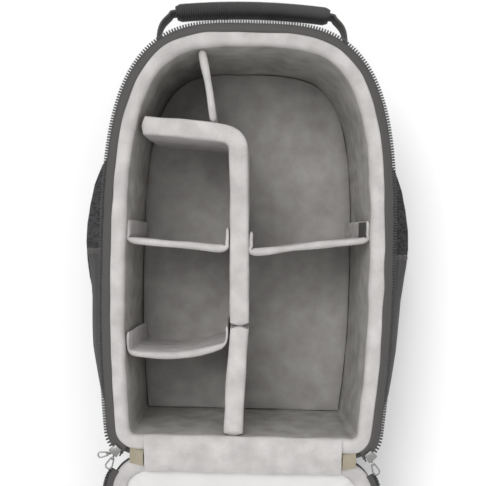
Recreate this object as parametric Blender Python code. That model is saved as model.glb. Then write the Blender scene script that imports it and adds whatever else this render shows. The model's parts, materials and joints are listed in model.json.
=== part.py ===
"""A clamshell camera backpack, lying on its harness with its lid swung open.

X runs across the bag, Y from its base to its crown, and Z from the harness to the lid.
The origin is on the back pad's flat underside, half way between the base and the zip's crown.
"""

import math

import bmesh
import bpy
from mathutils import Matrix, Vector

MM = 0.001
GAP = 0.3 * MM  # clearance between pieces that touch
FACET = 0.4 * MM  # the most that a wall's facets fall inside its true curve

# Outline of the bag, seen from the lid's side. v is measured from the base edge towards the crown.
HALF_WIDTH = 131.3 * MM
CROWN_V = 399 * MM
SHOULDER_V = 165 * MM  # where the straight sides end and the arch begins
ARCH_POWER = 3.45
SIDE_CURVE = 0.000406 / MM  # how fast the sides draw in below the shoulder, per metre squared
BASE_CORNER = 22 * MM
CORNER_STEPS = 6
SIDE_STEPS = 4
ARCH_STEPS = 16
PANEL_SPLIT_STEP = 5  # the arch step where the side panels are sewn to the top panel

# Zip: a tape that stands out of the seam, with a coil on its edge.
ZIP_REACH = 8 * MM
CHAIN_WIDTH = 3.2 * MM
CHAIN_HEIGHT = 3.5 * MM
TAPE = 1.1 * MM
ZIP_STEP = CHAIN_WIDTH + GAP

# Levels above the ground the bag lies on.
BACK_PAD_HEIGHT = 14.2 * MM
FABRIC = 2.0 * MM
FRAME_SHEET = 2.0 * MM
FLOOR_PAD = 9.0 * MM
RIM_Z = 150 * MM

# Foam lining of the walls.
LINER_TOP = 13.0 * MM
LINER_DRAFT = 5.5 * MM

# Lid, drawn closed and then swung open about the hinge.
LID_SETBACK = 3 * MM
LID_CORNER = 38 * MM
LID_BORDER = 15 * MM
LID_BORDER_HEIGHT = 9.4 * MM
LID_PANEL = 3.0 * MM
LID_POCKET_TOP_V = CROWN_V - 99 * MM
LID_POCKET_SHEET = 1.4 * MM
LID_GROUND_GAP = 0.5 * MM
LID_CHAIN_RAISE = 1.5 * MM
LID_ZIP_STEP = 2  # the corner step where the lid's zip begins

# Front pocket, on the lid's outer face.
FRONT_POCKET_HALF = 104 * MM
FRONT_POCKET_FROM_V = 34 * MM
FRONT_POCKET_MOUTH_V = CROWN_V - 109 * MM
FRONT_POCKET_DEPTH = 21 * MM

# Side pockets.
SIDE_POCKET_FROM_V = 20 * MM
SIDE_POCKET_MOUTH_V = 184 * MM
SIDE_POCKET_LOW = 26 * MM
SIDE_POCKET_HIGH = 118 * MM
SIDE_POCKET_DEPTH = 27 * MM
POCKET_FABRIC = 2.2 * MM
HEM = 6 * MM

# Dividers.
THIN = 6.6 * MM
THICK = 18 * MM
FLAP = 3.0 * MM
FLAP_REACH = 17 * MM
THIN_TOP = RIM_Z - 10 * MM
THICK_TOP = RIM_Z - 7 * MM

# Grab handle.
HANDLE_SPREAD = HALF_WIDTH - 34.3 * MM
HANDLE_Z = 50 * MM
HANDLE_WEB_WIDTH = 25 * MM
WEBBING = 3 * MM
HANDLE_AXIS_Y = CROWN_V / 2 - 9.5 * MM
HANDLE_RISE = 47 * MM
GRIP_HALF_LENGTH = 80 * MM
GRIP_THICK = 18 * MM
GRIP_WIDE = 30 * MM
ANCHOR_STEPS = 8

# Zip sliders and their pulls.
SLIDER_AT = math.radians(48.5)  # round the base corner, from the side towards the base
SLIDER_SPAN = math.radians(9)
SLIDER_PLATE = 1.5 * MM
LUG_RADIUS = 2.4 * MM
LUG_HOLE = 1.35 * MM
LUG_THICK = 1.6 * MM
WIRE = 0.7 * MM
RING_RADIUS = 3.2 * MM
RING_REACH = 11.5 * MM
TAG_LENGTH = 10 * MM
PULL_NECK = 1.6 * MM
SLIDER_STEPS = 2
EYE_STEP = math.radians(4.5)  # from the slider's middle to an eye, round the arc
RING_POINTS = math.radians(65)  # how far the ring points towards the base, from straight out
TAG_POINTS = math.radians(10)
TAG_HALF_WIDTH = 2.6 * MM

# Harness.
BACK_PAD_HALF = 52 * MM
BACK_PAD_LOW_Y = -175 * MM
BACK_PAD_HIGH_Y = 70 * MM
BACK_PAD_CORNER = 22 * MM
STRAP_THICK = 12 * MM
STRAP_HALF = 31 * MM
YOKE_LOW_Y = 150 * MM
YOKE_HIGH_Y = 180 * MM
YOKE_HALF = 74 * MM
STRAP_WEB = 2 * MM
STRAP_WEB_HALF = 12.5 * MM
LOCK_HALF = 17 * MM
LOCK_LENGTH = 22 * MM
LOCK_HEIGHT = 5 * MM
LOCK_BAR = 3.5 * MM

# Base.
BOOT = 3 * MM
BOOT_HALF = 92 * MM
BOOT_HIGH_Z = RIM_Z - 25 * MM
FOOT = 4 * MM
FOOT_FROM_X = 57 * MM
FOOT_TO_X = 79 * MM
FOOT_INSET = 8 * MM
HINGE_STRIP_OVERHANG = 2.2 * MM
TIE = 1 * MM
TIE_WIDTH = 12 * MM
TIE_DROP = 18 * MM

# Derived levels.
BACK_PANEL_Z = BACK_PAD_HEIGHT + GAP
FRAME_SHEET_Z = BACK_PANEL_Z + FABRIC + GAP
FLOOR_PAD_Z = FRAME_SHEET_Z + FRAME_SHEET + GAP
FLOOR_TOP = FLOOR_PAD_Z + FLOOR_PAD
CHAIN_TOP = RIM_Z - 1.2 * MM
TAPE_Z = CHAIN_TOP - CHAIN_HEIGHT / 2 - TAPE / 2
SHELL_TOP = TAPE_Z - GAP
LINER_IN = FABRIC + GAP + LINER_TOP  # from the outline to the liner's inner face, at the rim
LINER_IN_FLOOR = LINER_IN + LINER_DRAFT
ORIGIN_V = (CROWN_V + ZIP_REACH) / 2
HINGE_Y = -ORIGIN_V - LID_SETBACK
LID_BORDER_H = GAP
LID_PANEL_H = LID_BORDER_H + LID_BORDER_HEIGHT + GAP
LID_OUTER_H = LID_PANEL_H + LID_PANEL

COLOURS = {
    "black_nylon": ((0.035, 0.034, 0.036), 0.75, 0.0),
    "black_webbing": ((0.045, 0.044, 0.046), 0.7, 0.0),
    "air_mesh": ((0.05, 0.05, 0.053), 0.9, 0.0),
    "grey_lining": ((0.68, 0.66, 0.64), 0.95, 0.0),
    "grey_floor": ((0.36, 0.35, 0.34), 0.95, 0.0),
    "pocket_cloth": ((0.60, 0.60, 0.60), 0.8, 0.0),
    "khaki_webbing": ((0.36, 0.32, 0.22), 0.8, 0.0),
    "zip_coil": ((0.03, 0.03, 0.03), 0.45, 0.0),
    "gunmetal": ((0.22, 0.22, 0.22), 0.35, 1.0),
    "black_plastic": ((0.03, 0.03, 0.03), 0.4, 0.0),
    "black_rubber": ((0.03, 0.03, 0.03), 0.8, 0.0),
    "frame_board": ((0.55, 0.55, 0.53), 0.5, 0.0),
}


# ---------------------------------------------------------------- outline


def side_x(v):
    """Half width of the bag at v, up to the crown."""
    if v <= SHOULDER_V:
        return HALF_WIDTH - SIDE_CURVE * (SHOULDER_V - v) ** 2
    rise = (v - SHOULDER_V) / (CROWN_V - SHOULDER_V)
    return HALF_WIDTH * max(0.0, 1 - rise**ARCH_POWER) ** (1 / ARCH_POWER)


def crown_y(x):
    """Y of the outline's arch at x."""
    run = abs(x) / HALF_WIDTH
    return SHOULDER_V + (CROWN_V - SHOULDER_V) * (1 - run**ARCH_POWER) ** (1 / ARCH_POWER) - ORIGIN_V


def corner_of(base_v, radius):
    """Centre (x, v) and side angle of a base corner that meets the side without a kink."""
    v, angle = base_v + radius, 0.0
    for _ in range(20):
        angle = math.atan(2 * SIDE_CURVE * (SHOULDER_V - v))
        v = base_v + radius - radius * math.sin(angle)
    return side_x(v) - radius * math.cos(angle), base_v + radius, angle


def outline(base_v=0.0, corner=BASE_CORNER):
    """The outline as a loop of (point, miter) pairs, counter-clockwise from the middle of the base.

    A miter times a distance moves a point outwards so that every edge moves by that distance.
    """
    centre_x, centre_v, angle = corner_of(base_v, corner)
    half = [(0.0, base_v)]
    for i in range(CORNER_STEPS + 1):
        turn = -math.pi / 2 + (math.pi / 2 - angle) * i / CORNER_STEPS
        half.append((centre_x + corner * math.cos(turn), centre_v + corner * math.sin(turn)))
    side_from = half[-1][1]
    for i in range(1, SIDE_STEPS + 1):
        v = side_from + (SHOULDER_V - side_from) * i / SIDE_STEPS
        half.append((side_x(v), v))
    for i in range(1, ARCH_STEPS + 1):
        turn = math.pi / 2 * i / ARCH_STEPS
        across = max(0.0, math.cos(turn)) ** (2 / ARCH_POWER)
        up = math.sin(turn) ** (2 / ARCH_POWER)
        half.append((HALF_WIDTH * across, SHOULDER_V + (CROWN_V - SHOULDER_V) * up))
    half[-1] = (0.0, CROWN_V)
    loop = half + [(-x, v) for x, v in reversed(half[1:-1])]
    points = [Vector((x, v - ORIGIN_V)) for x, v in loop]
    pairs = []
    for i, point in enumerate(points):
        before = (point - points[i - 1]).normalized()
        after = (points[(i + 1) % len(points)] - point).normalized()
        n1, n2 = Vector((before.y, -before.x)), Vector((after.y, -after.x))
        pairs.append((point, (n1 + n2) / (1 + n1.dot(n2))))
    return pairs


def stretch(loop, first, last):
    """The loop's pairs from index first to index last, wrapping round."""
    return [loop[i % len(loop)] for i in range(first, last + 1)]


def trimmed(pairs, by):
    """An open run of pairs with both ends drawn in by a distance."""
    out = list(pairs)
    for end, inner in ((0, 1), (-1, -2)):
        point, miter = pairs[end]
        along = (pairs[inner][0] - point).normalized()
        out[end] = (point + along * by, miter)
    return out


CORNER_END = 1 + CORNER_STEPS
SPLIT = CORNER_END + SIDE_STEPS + PANEL_SPLIT_STEP
HALF_COUNT = CORNER_END + SIDE_STEPS + ARCH_STEPS  # index of the crown's point


def panels(loop):
    """The four sewn runs of the walls, each with a name."""
    count = len(loop)
    return {
        "right": stretch(loop, CORNER_END, SPLIT),
        "top": stretch(loop, SPLIT, count - SPLIT),
        "left": stretch(loop, count - SPLIT, count - CORNER_END),
        "base": stretch(loop, count - CORNER_END, count + CORNER_END),
    }


# ---------------------------------------------------------------- mesh helpers


def skin(bm, rings, closed=False, caps=True):
    """Joins rings of equal length into a surface. closed joins the last ring to the first."""
    made = [[bm.verts.new(p) for p in ring] for ring in rings]
    count = len(made[0])
    runs = range(len(made) if closed else len(made) - 1)
    for i in runs:
        a, b = made[i], made[(i + 1) % len(made)]
        for j in range(count):
            k = (j + 1) % count
            bm.faces.new((a[j], a[k], b[k], b[j]))
    if caps and not closed:
        bm.faces.new(list(reversed(made[0])))
        bm.faces.new(made[-1])
    return made


def outward(bm):
    """Triangles with every face pointing out."""
    bmesh.ops.triangulate(bm, faces=bm.faces)
    bmesh.ops.recalc_face_normals(bm, faces=bm.faces)
    if bm.calc_volume(signed=True) < 0:
        bmesh.ops.reverse_faces(bm, faces=bm.faces)
    return bm


def wall(pairs, outer, inner, low, high, inner_low=None, closed=False):
    """A wall along a run of the outline, between two distances from it and two levels."""
    inner_low = inner if inner_low is None else inner_low
    bm = bmesh.new()
    rings = []
    for point, miter in pairs:
        far, near, near_low = point + miter * outer, point + miter * inner, point + miter * inner_low
        rings.append([(*far, low), (*far, high), (*near, high), (*near_low, low)])
    skin(bm, rings, closed=closed)
    return outward(bm)


def prism(low_points, high_points, low, high):
    """A solid between a polygon at one level and one of as many corners at another."""
    bm = bmesh.new()
    skin(bm, [[(x, y, low) for x, y in low_points], [(x, y, high) for x, y in high_points]])
    return outward(bm)


def plate(loop, offset, low, high):
    """A filled outline between two levels."""
    points = [point + miter * offset for point, miter in loop]
    return prism(points, points, low, high)


def box(low, high):
    """An upright box between two corners."""
    (x0, y0, z0), (x1, y1, z1) = low, high
    corners = [(x0, y0), (x1, y0), (x1, y1), (x0, y1)]
    return prism(corners, corners, z0, z1)


def rounded_box_points(x0, y0, x1, y1, radius, steps=4):
    """Corners of a rounded rectangle, counter-clockwise."""
    points = []
    quarters = ((x1, y0, -90), (x1, y1, 0), (x0, y1, 90), (x0, y0, 180))
    for x, y, start in quarters:
        cx = x - math.copysign(radius, x - (x0 + x1) / 2)
        cy = y - math.copysign(radius, y - (y0 + y1) / 2)
        for i in range(steps + 1):
            turn = math.radians(start + 90 * i / steps)
            points.append((cx + radius * math.cos(turn), cy + radius * math.sin(turn)))
    return points


def cup(outer_rings, inner_rings):
    """A pocket: closed at its first rings, open at its last, which are at the mouth."""
    bm = bmesh.new()
    outer = skin(bm, outer_rings, caps=False)
    inner = skin(bm, inner_rings, caps=False)
    bm.faces.new(list(reversed(outer[0])))
    bm.faces.new(list(reversed(inner[0])))
    bridge(bm, outer[-1], inner[-1])
    return outward(bm)


def sleeve(outer_rings, inner_rings):
    """A band open at both ends."""
    bm = bmesh.new()
    outer = skin(bm, outer_rings, caps=False)
    inner = skin(bm, inner_rings, caps=False)
    for end in (0, -1):
        bridge(bm, outer[end], inner[end])
    return outward(bm)


def bridge(bm, a, b):
    """Quads between two rings of vertices of equal length."""
    for j in range(len(a)):
        k = (j + 1) % len(a)
        bm.faces.new((a[j], a[k], b[k], b[j]))


def smoothed(points, per_span=3):
    """Points along a smooth curve (Catmull-Rom) through the given ones."""
    ends = [points[0] * 2 - points[1], *points, points[-1] * 2 - points[-2]]
    out = []
    for i in range(1, len(ends) - 2):
        a, b, c, d = ends[i - 1 : i + 3]
        for k in range(per_span):
            t = k / per_span
            bend = (2 * a - 5 * b + 4 * c - d) * t**2 + (3 * b - a - 3 * c + d) * t**3
            out.append(0.5 * (2 * b + (c - a) * t + bend))
    return [*out, points[-1].copy()]


def side_normals(points):
    """Unit normals, to the left of an open run of 2D points."""
    normals = []
    for i in range(len(points)):
        along = (points[min(i + 1, len(points) - 1)] - points[max(i - 1, 0)]).normalized()
        normals.append(Vector((-along.y, along.x)))
    return normals


def square_normal(along):
    """The level or upright normal that is nearest to a direction's own."""
    if abs(along.x) > abs(along.y):
        return Vector((0, math.copysign(1, along.x)))
    return Vector((-math.copysign(1, along.y), 0))


def band(points, half, low, high, square_start=False):
    """A flat band of even width that follows a run of 2D points."""
    normals = side_normals(points)
    if square_start:
        normals[0] = square_normal(points[1] - points[0])
    left = [p + n * half for p, n in zip(points, normals)]
    right = [p - n * half for p, n in zip(points, normals)]
    bm = bmesh.new()
    skin(bm, [[(*r, low), (*l, low), (*l, high), (*r, high)] for r, l in zip(right, left)])
    return outward(bm)


def mirrored(bm):
    """The same solid on the other side of the bag."""
    bmesh.ops.scale(bm, vec=(-1, 1, 1), verts=bm.verts)
    bmesh.ops.reverse_faces(bm, faces=bm.faces)
    return bm


def sided(bm, side):
    """A solid drawn on the right, for the given side."""
    return mirrored(bm) if side == "left" else bm


# ---------------------------------------------------------------- objects


def material(slot):
    """The Principled material of a slot."""
    if slot in bpy.data.materials:
        return bpy.data.materials[slot]
    colour, roughness, metallic = COLOURS[slot]
    made = bpy.data.materials.new(slot)
    made.use_nodes = True
    made.diffuse_color = (*colour, 1)
    shader = made.node_tree.nodes["Principled BSDF"]
    shader.inputs["Base Color"].default_value = (*colour, 1)
    shader.inputs["Roughness"].default_value = roughness
    shader.inputs["Metallic"].default_value = metallic
    return made


def place(name, bm, slot, pivot=None):
    """Makes a named object. pivot is the empty, on the joint's axis, that carries a moving piece."""
    if pivot is not None:
        bmesh.ops.translate(bm, vec=-pivot.matrix_world.translation, verts=bm.verts)
    mesh = bpy.data.meshes.new(name)
    bm.to_mesh(mesh)
    bm.free()
    made = bpy.data.objects.new(name, mesh)
    bpy.context.scene.collection.objects.link(made)
    mesh.materials.append(material(slot))
    mesh.shade_smooth()
    mesh.set_sharp_from_angle(angle=math.radians(35))
    if pivot is not None:
        made.parent = pivot
    return made


def axis_empty(name, at, parent=None):
    """An empty on a joint's axis, in world coordinates."""
    made = bpy.data.objects.new(name, None)
    made.empty_display_size = 0.02
    bpy.context.scene.collection.objects.link(made)
    made.location = at
    if parent is not None:
        made.parent = parent
        made.location = Vector(at) - parent.matrix_world.translation
    bpy.context.view_layer.update()
    return made


# ---------------------------------------------------------------- the main compartment


def build_floor(loop):
    place("back_panel", plate(loop, 0, BACK_PANEL_Z, BACK_PANEL_Z + FABRIC), "black_nylon")
    sheet_in = FABRIC + GAP
    place("frame_sheet", plate(loop, -sheet_in, FRAME_SHEET_Z, FRAME_SHEET_Z + FRAME_SHEET), "frame_board")
    place("floor_pad", plate(loop, -LINER_IN_FLOOR - GAP, FLOOR_PAD_Z, FLOOR_TOP), "grey_floor")


def build_walls(loop):
    for name, run in panels(loop).items():
        run = trimmed(run, GAP / 2)
        shell = wall(run, 0, -FABRIC, FRAME_SHEET_Z, SHELL_TOP)
        place("shell_" + name, shell, "black_nylon")
        liner = wall(run, -FABRIC - GAP, -LINER_IN, FLOOR_PAD_Z, RIM_Z - GAP, -LINER_IN_FLOOR)
        place("liner_" + name, liner, "grey_lining")


def build_body_zip(loop):
    """The half of the zip that is sewn to the walls, round the crown from corner to corner."""
    first = CORNER_END - CORNER_STEPS + 2
    run = stretch(loop, first, len(loop) - first)
    tape = wall(run, ZIP_REACH - ZIP_STEP, -FABRIC, TAPE_Z, TAPE_Z + TAPE)
    place("zip_tape_body", tape, "black_webbing")
    chain = wall(run, ZIP_REACH, ZIP_REACH - CHAIN_WIDTH, CHAIN_TOP - CHAIN_HEIGHT, CHAIN_TOP)
    place("zip_chain_body", chain, "zip_coil")


def build_base():
    """The tough cover and feet of the base, and the cloth that ties the lid to it."""
    face = -ORIGIN_V - GAP
    boot_low = FRAME_SHEET_Z
    place("base_boot", box((-BOOT_HALF, face - BOOT, boot_low), (BOOT_HALF, face, BOOT_HIGH_Z)), "black_rubber")
    foot_face = face - BOOT - GAP
    low_corner = (FOOT_FROM_X, foot_face - FOOT, boot_low + FOOT_INSET)
    high_corner = (FOOT_TO_X, foot_face, BOOT_HIGH_Z - FOOT_INSET)
    for side in ("left", "right"):
        foot = box(low_corner, high_corner)
        place("foot_" + side, sided(foot, side), "black_rubber")


# ---------------------------------------------------------------- dividers


def divider_outline(spine, half, start_flap=0, end_flap=0):
    """Corners of a divider seen from above, with square ends. A flap turns up from an end."""
    normals = side_normals(spine)
    normals[0] = square_normal(spine[1] - spine[0])
    normals[-1] = square_normal(spine[-1] - spine[-2])
    lower = [p - n * half for p, n in zip(spine, normals)]
    upper = [p + n * half for p, n in zip(spine, normals)]
    if start_flap:
        along = Vector((1, 0))
        tip = Vector((0, start_flap))
        upper = [upper[0] + tip, upper[0] + tip + along * FLAP, upper[0] + along * FLAP, *upper[1:]]
    if end_flap:
        along = Vector((-1, 0))
        tip = Vector((0, end_flap))
        upper = [*upper[:-1], upper[-1] + along * FLAP, upper[-1] + tip + along * FLAP, upper[-1] + tip]
    return lower + list(reversed(upper))


def centre_x(y):
    """X of the middle of the long divider's upright arm."""
    return (-8.3 - 0.028 * (y / MM)) * MM


def build_dividers():
    """Six padded dividers that stand on the floor pad. Their ends follow the drafted walls."""
    rear = THICK / 2 + GAP

    def wall_x(y, inset):
        """X of a divider's end, clear of the wall and its facets from its lower corner to its flap's tip."""
        v = y + ORIGIN_V
        return min(side_x(v - THICK / 2), side_x(v + FLAP_REACH + THIN / 2)) - inset - GAP - FACET

    def upper_left(inset):
        top = Vector((-48 * MM, crown_y(48 * MM + THIN) - inset * 1.03 - GAP - FACET))
        foot = Vector((-35 * MM, 99.2 * MM + rear))
        return [foot, foot.lerp(top, 0.5), top]

    def ell(inset):
        points = [(-wall_x(103 * MM, inset), 103.7), (-60 * MM, 101), (-30 * MM, 98.6), (-18.5 * MM, 95.5)]
        points += [(-12.5 * MM, 88.5), (-10.9 * MM, 77)]
        spine = [Vector((x, y * MM)) for x, y in points]
        return spine + [Vector((centre_x(y * MM), y * MM)) for y in (40, -20, -83.5)]

    def lower_centre(inset):
        top = -83.5 * MM - GAP - FACET
        foot = -ORIGIN_V + inset + 2 * GAP
        return [Vector((centre_x(top), top)), Vector((-9.5 * MM, foot))]

    def left_middle(inset):
        end_y = -10.8 * MM
        end_x = centre_x(end_y + FLAP_REACH + THIN) - rear
        return [Vector((-wall_x(-5 * MM, inset), -5.2 * MM)), Vector((end_x, end_y))]

    def left_lower(inset):
        points = [(-wall_x(-112 * MM, inset), -111.5), (-88 * MM, -113.6), (-64 * MM, -113.4), (-40 * MM, -109)]
        spine = [Vector((x, y * MM)) for x, y in points]
        return [*spine, Vector((-6.9 * MM - rear, -102 * MM))]

    def right_middle(inset):
        start_y = -14 * MM
        return [Vector((centre_x(start_y - THIN) + rear, start_y)), Vector((wall_x(0, inset), 0))]

    made = (
        ("divider_upper_left", upper_left, THIN, 0, 0, THIN_TOP),
        ("divider_long_ell", ell, THICK, 0, 0, THICK_TOP),
        ("divider_lower_centre", lower_centre, THICK, 0, 0, THICK_TOP),
        ("divider_left_middle", left_middle, THIN, FLAP_REACH, FLAP_REACH, THIN_TOP),
        ("divider_left_lower", left_lower, THIN, FLAP_REACH, FLAP_REACH, THIN_TOP),
        ("divider_right_middle", right_middle, THIN, FLAP_REACH, FLAP_REACH, THIN_TOP),
    )
    for name, spine, thick, start_flap, end_flap, top in made:
        shapes = []
        for inset in (LINER_IN_FLOOR, LINER_IN):
            shapes.append(divider_outline(spine(inset), thick / 2, start_flap, end_flap))
        low = FLOOR_TOP + GAP
        pivot = axis_empty("lift_" + name, (*spine(LINER_IN)[0], low))
        place(name, prism(*shapes, low, top), "grey_lining", pivot)


# ---------------------------------------------------------------- pockets


def pocket_ring(half, depth, bow, steps=8):
    """Section of a pocket as (along, out) pairs: flat at the back, bowed outwards to its depth."""
    points = []
    for i in range(steps + 1):
        share = -1 + 2 * i / steps
        points.append((share * half, depth * (1 - abs(share) ** bow) ** (1 / bow)))
    points[0], points[-1] = (-half, 0.25 * depth), (half, 0.25 * depth)
    return [(-half, 0.0), *points, (half, 0.0)]


def pocket_rings(stations, inner, place_point, bow):
    """Rings of a pocket's outer or inner face at each station: (v, half, depth)."""
    rings = []
    for v, half, depth in stations:
        cut = POCKET_FABRIC if inner else 0.0
        back = POCKET_FABRIC / 2 if inner else 0.0
        section = pocket_ring(half - cut, depth - cut - back, bow)
        rings.append([place_point(v, along, out + back) for along, out in section])
    return rings


def pocket(stations, hem_length, place_point, bow):
    """A pocket with its mouth at the last station, and the elastic hem that edges the mouth."""
    inner = [(stations[0][0] + POCKET_FABRIC, *stations[1][1:]), *stations[1:]]
    inner[0] = (inner[0][0], stations[0][1], stations[0][2])
    body = cup(
        pocket_rings(stations, False, place_point, bow),
        pocket_rings(inner, True, place_point, bow),
    )
    mouth_v, half, depth = stations[-1]
    ends = [(mouth_v + GAP, half, depth), (mouth_v + hem_length, half, depth)]
    hem = sleeve(
        pocket_rings(ends, False, place_point, bow),
        pocket_rings(ends, True, place_point, bow),
    )
    return body, hem


def build_side_pockets():
    """A stretch pocket low on each side, open towards the crown, bulging most at its hem."""
    middle = (SIDE_POCKET_LOW + SIDE_POCKET_HIGH) / 2
    half = (SIDE_POCKET_HIGH - SIDE_POCKET_LOW) / 2
    length = SIDE_POCKET_MOUTH_V - SIDE_POCKET_FROM_V
    shape = ((0, 0.30), (0.06, 0.48), (0.2, 0.66), (0.45, 0.8), (0.75, 0.84), (0.9, 0.93), (1, 1))
    stations = [(SIDE_POCKET_FROM_V + length * at, half, SIDE_POCKET_DEPTH * depth) for at, depth in shape]

    def on_side(v, along, out):
        return (side_x(v) + GAP + out, v - ORIGIN_V, middle + along)

    for side in ("left", "right"):
        body, hem = pocket(stations, HEM, on_side, 3)
        place("side_pocket_" + side, sided(body, side), "black_nylon")
        place("side_pocket_hem_" + side, sided(hem, side), "black_webbing")


# ---------------------------------------------------------------- lid


def lid_slope():
    """How far past flat the lid swings before its tip is on the ground, in radians."""
    reach = CROWN_V + LID_SETBACK
    return math.asin((RIM_Z - LID_GROUND_GAP) / math.hypot(reach, LID_OUTER_H)) - math.atan2(LID_OUTER_H, reach)


def opened(bm):
    """Swings a solid that was drawn on the closed lid out to where the lid lies open."""
    hinge = Vector((0, HINGE_Y, RIM_Z))
    turn = Matrix.Rotation(math.pi + lid_slope(), 3, "X")
    bmesh.ops.rotate(bm, cent=hinge, matrix=turn, verts=bm.verts)
    return bm


def lid_half_width(v, inset):
    """Half width of the lid at v, a distance inside its edge."""
    centre, centre_v, angle = corner_of(0.0, LID_CORNER)
    radius = LID_CORNER - inset
    if v < centre_v - radius * math.sin(angle):
        return centre + math.sqrt(max(0.0, radius**2 - (centre_v - v) ** 2))
    return side_x(v) - inset


def build_lid(pivot):
    loop = outline(0.0, LID_CORNER)
    border_low = RIM_Z + LID_BORDER_H
    border = wall(loop, 0, -LID_BORDER, border_low, border_low + LID_BORDER_HEIGHT, closed=True)
    place("lid_border", opened(border), "grey_lining", pivot)
    panel = plate(loop, 0, RIM_Z + LID_PANEL_H, RIM_Z + LID_OUTER_H)
    place("lid_panel", opened(panel), "black_nylon", pivot)

    first = 1 + LID_ZIP_STEP + 2
    run = stretch(loop, first, len(loop) - first)
    chain_low = RIM_Z + LID_CHAIN_RAISE
    tape_low = chain_low + CHAIN_HEIGHT / 2 - TAPE / 2
    tape = wall(run, ZIP_REACH - ZIP_STEP, GAP, tape_low, tape_low + TAPE)
    place("zip_tape_lid", opened(tape), "black_webbing", pivot)
    chain = wall(run, ZIP_REACH, ZIP_REACH - CHAIN_WIDTH, chain_low, chain_low + CHAIN_HEIGHT)
    place("zip_chain_lid", opened(chain), "zip_coil", pivot)


def build_lid_pocket(pivot):
    """A flat pocket inside the lid's border, open towards the lid's tip."""
    inset = LID_BORDER + GAP
    low = RIM_Z + 1.7 * MM
    high = RIM_Z + LID_PANEL_H - GAP
    bottom_v = inset + 0.6 * MM
    clear = inset + FACET
    radius = LID_CORNER - inset
    levels = [bottom_v + radius * (1 - math.cos(math.radians(a))) for a in (12, 35, 60, 85)]
    levels += [90 * MM, 150 * MM, SHOULDER_V + 50 * MM, LID_POCKET_TOP_V]

    def ring(v, cut):
        half = lid_half_width(v, clear) - cut
        y = v - ORIGIN_V
        return [(-half, y, low + cut), (half, y, low + cut), (half, y, high - cut), (-half, y, high - cut)]

    inner_levels = [levels[0] + LID_POCKET_SHEET, *levels[1:]]
    body = cup([ring(v, 0) for v in levels], [ring(v, LID_POCKET_SHEET) for v in inner_levels])
    place("lid_pocket", opened(body), "pocket_cloth", pivot)
    ends = (LID_POCKET_TOP_V + GAP, LID_POCKET_TOP_V + HEM)
    hem = sleeve([ring(v, 0) for v in ends], [ring(v, LID_POCKET_SHEET) for v in ends])
    place("lid_pocket_hem", opened(hem), "black_webbing", pivot)


def build_front_pocket(pivot):
    """A bowed pocket on the lid's outer face, open towards the lid's tip."""
    length = FRONT_POCKET_MOUTH_V - FRONT_POCKET_FROM_V
    shape = ((0, 0.9, 0.34), (0.05, 0.95, 0.5), (0.15, 1, 0.75), (0.4, 1, 1), (0.75, 1, 1), (1, 0.98, 0.85))
    stations = [
        (FRONT_POCKET_FROM_V + length * at, FRONT_POCKET_HALF * width, FRONT_POCKET_DEPTH * depth)
        for at, width, depth in shape
    ]

    def on_lid(v, along, out):
        return (along, v - ORIGIN_V, RIM_Z + LID_OUTER_H + GAP + out)

    body, hem = pocket(stations, HEM, on_lid, 4)
    place("front_pocket", opened(body), "black_nylon", pivot)
    place("front_pocket_hem", opened(hem), "black_webbing", pivot)


def build_hinge_cloth():
    """The strip on top of the base wall that the lid hangs from, and a tie beside each of its ends."""
    strip_half = corner_of(0.0, LID_CORNER)[0]
    outer_y = -ORIGIN_V - HINGE_STRIP_OVERHANG
    inner_y = -ORIGIN_V + FABRIC
    strip = box((-strip_half, outer_y, SHELL_TOP + GAP), (strip_half, inner_y, RIM_Z - GAP))
    place("hinge_strip", strip, "grey_lining")
    tie_to = corner_of(0.0, BASE_CORNER)[0] - MM
    face = -ORIGIN_V - GAP
    for side in ("left", "right"):
        tie = box((tie_to - TIE_WIDTH, face - TIE, SHELL_TOP - TIE_DROP), (tie_to, face, SHELL_TOP))
        place("corner_tie_" + side, sided(tie, side), "khaki_webbing")


# ---------------------------------------------------------------- zip sliders


def lug(at, direction):
    """An upright eye: a washer whose hole lies across direction, which is level."""
    across = Vector((direction.y, -direction.x, 0))
    up = Vector((0, 0, 1))
    flat = Vector((direction.x, direction.y, 0))
    steps = 12
    rings = []
    for radius, shift in ((LUG_RADIUS, -1), (LUG_RADIUS, 1), (LUG_HOLE, 1), (LUG_HOLE, -1)):
        ring = []
        for i in range(steps):
            turn = 2 * math.pi * i / steps
            around = flat * math.cos(turn) + up * math.sin(turn)
            ring.append(at + around * radius + across * (shift * LUG_THICK / 2))
        rings.append(ring)
    bm = bmesh.new()
    skin(bm, rings, closed=True)
    return outward(bm)


def wire_loop(points, normal):
    """A closed loop of round wire through points in one plane."""
    sides = 6
    rings = []
    count = len(points)
    for i in range(count):
        along = (points[(i + 1) % count] - points[i - 1]).normalized()
        out = along.cross(normal).normalized()
        ring = []
        for k in range(sides):
            turn = 2 * math.pi * k / sides
            ring.append(points[i] + (out * math.cos(turn) + normal * math.sin(turn)) * WIRE)
        rings.append(ring)
    bm = bmesh.new()
    skin(bm, rings, closed=True)
    return outward(bm)


def pull_points(at, direction, reach, far, steps=6):
    """Points of a loop from a narrow near end, in an eye, to a wide far end."""
    across = Vector((direction.y, -direction.x, 0))
    points = []
    for i in range(steps + 1):
        turn = math.radians(115 - 230 * i / steps)
        points.append(at + direction * (reach + far * math.cos(turn)) + across * (far * math.sin(turn)))
    for i in range(4):
        turn = math.radians(-60 + 40 * i)
        points.append(at + direction * (PULL_NECK * (1 - math.cos(turn))) + across * (PULL_NECK * math.sin(turn)))
    return points


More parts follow.
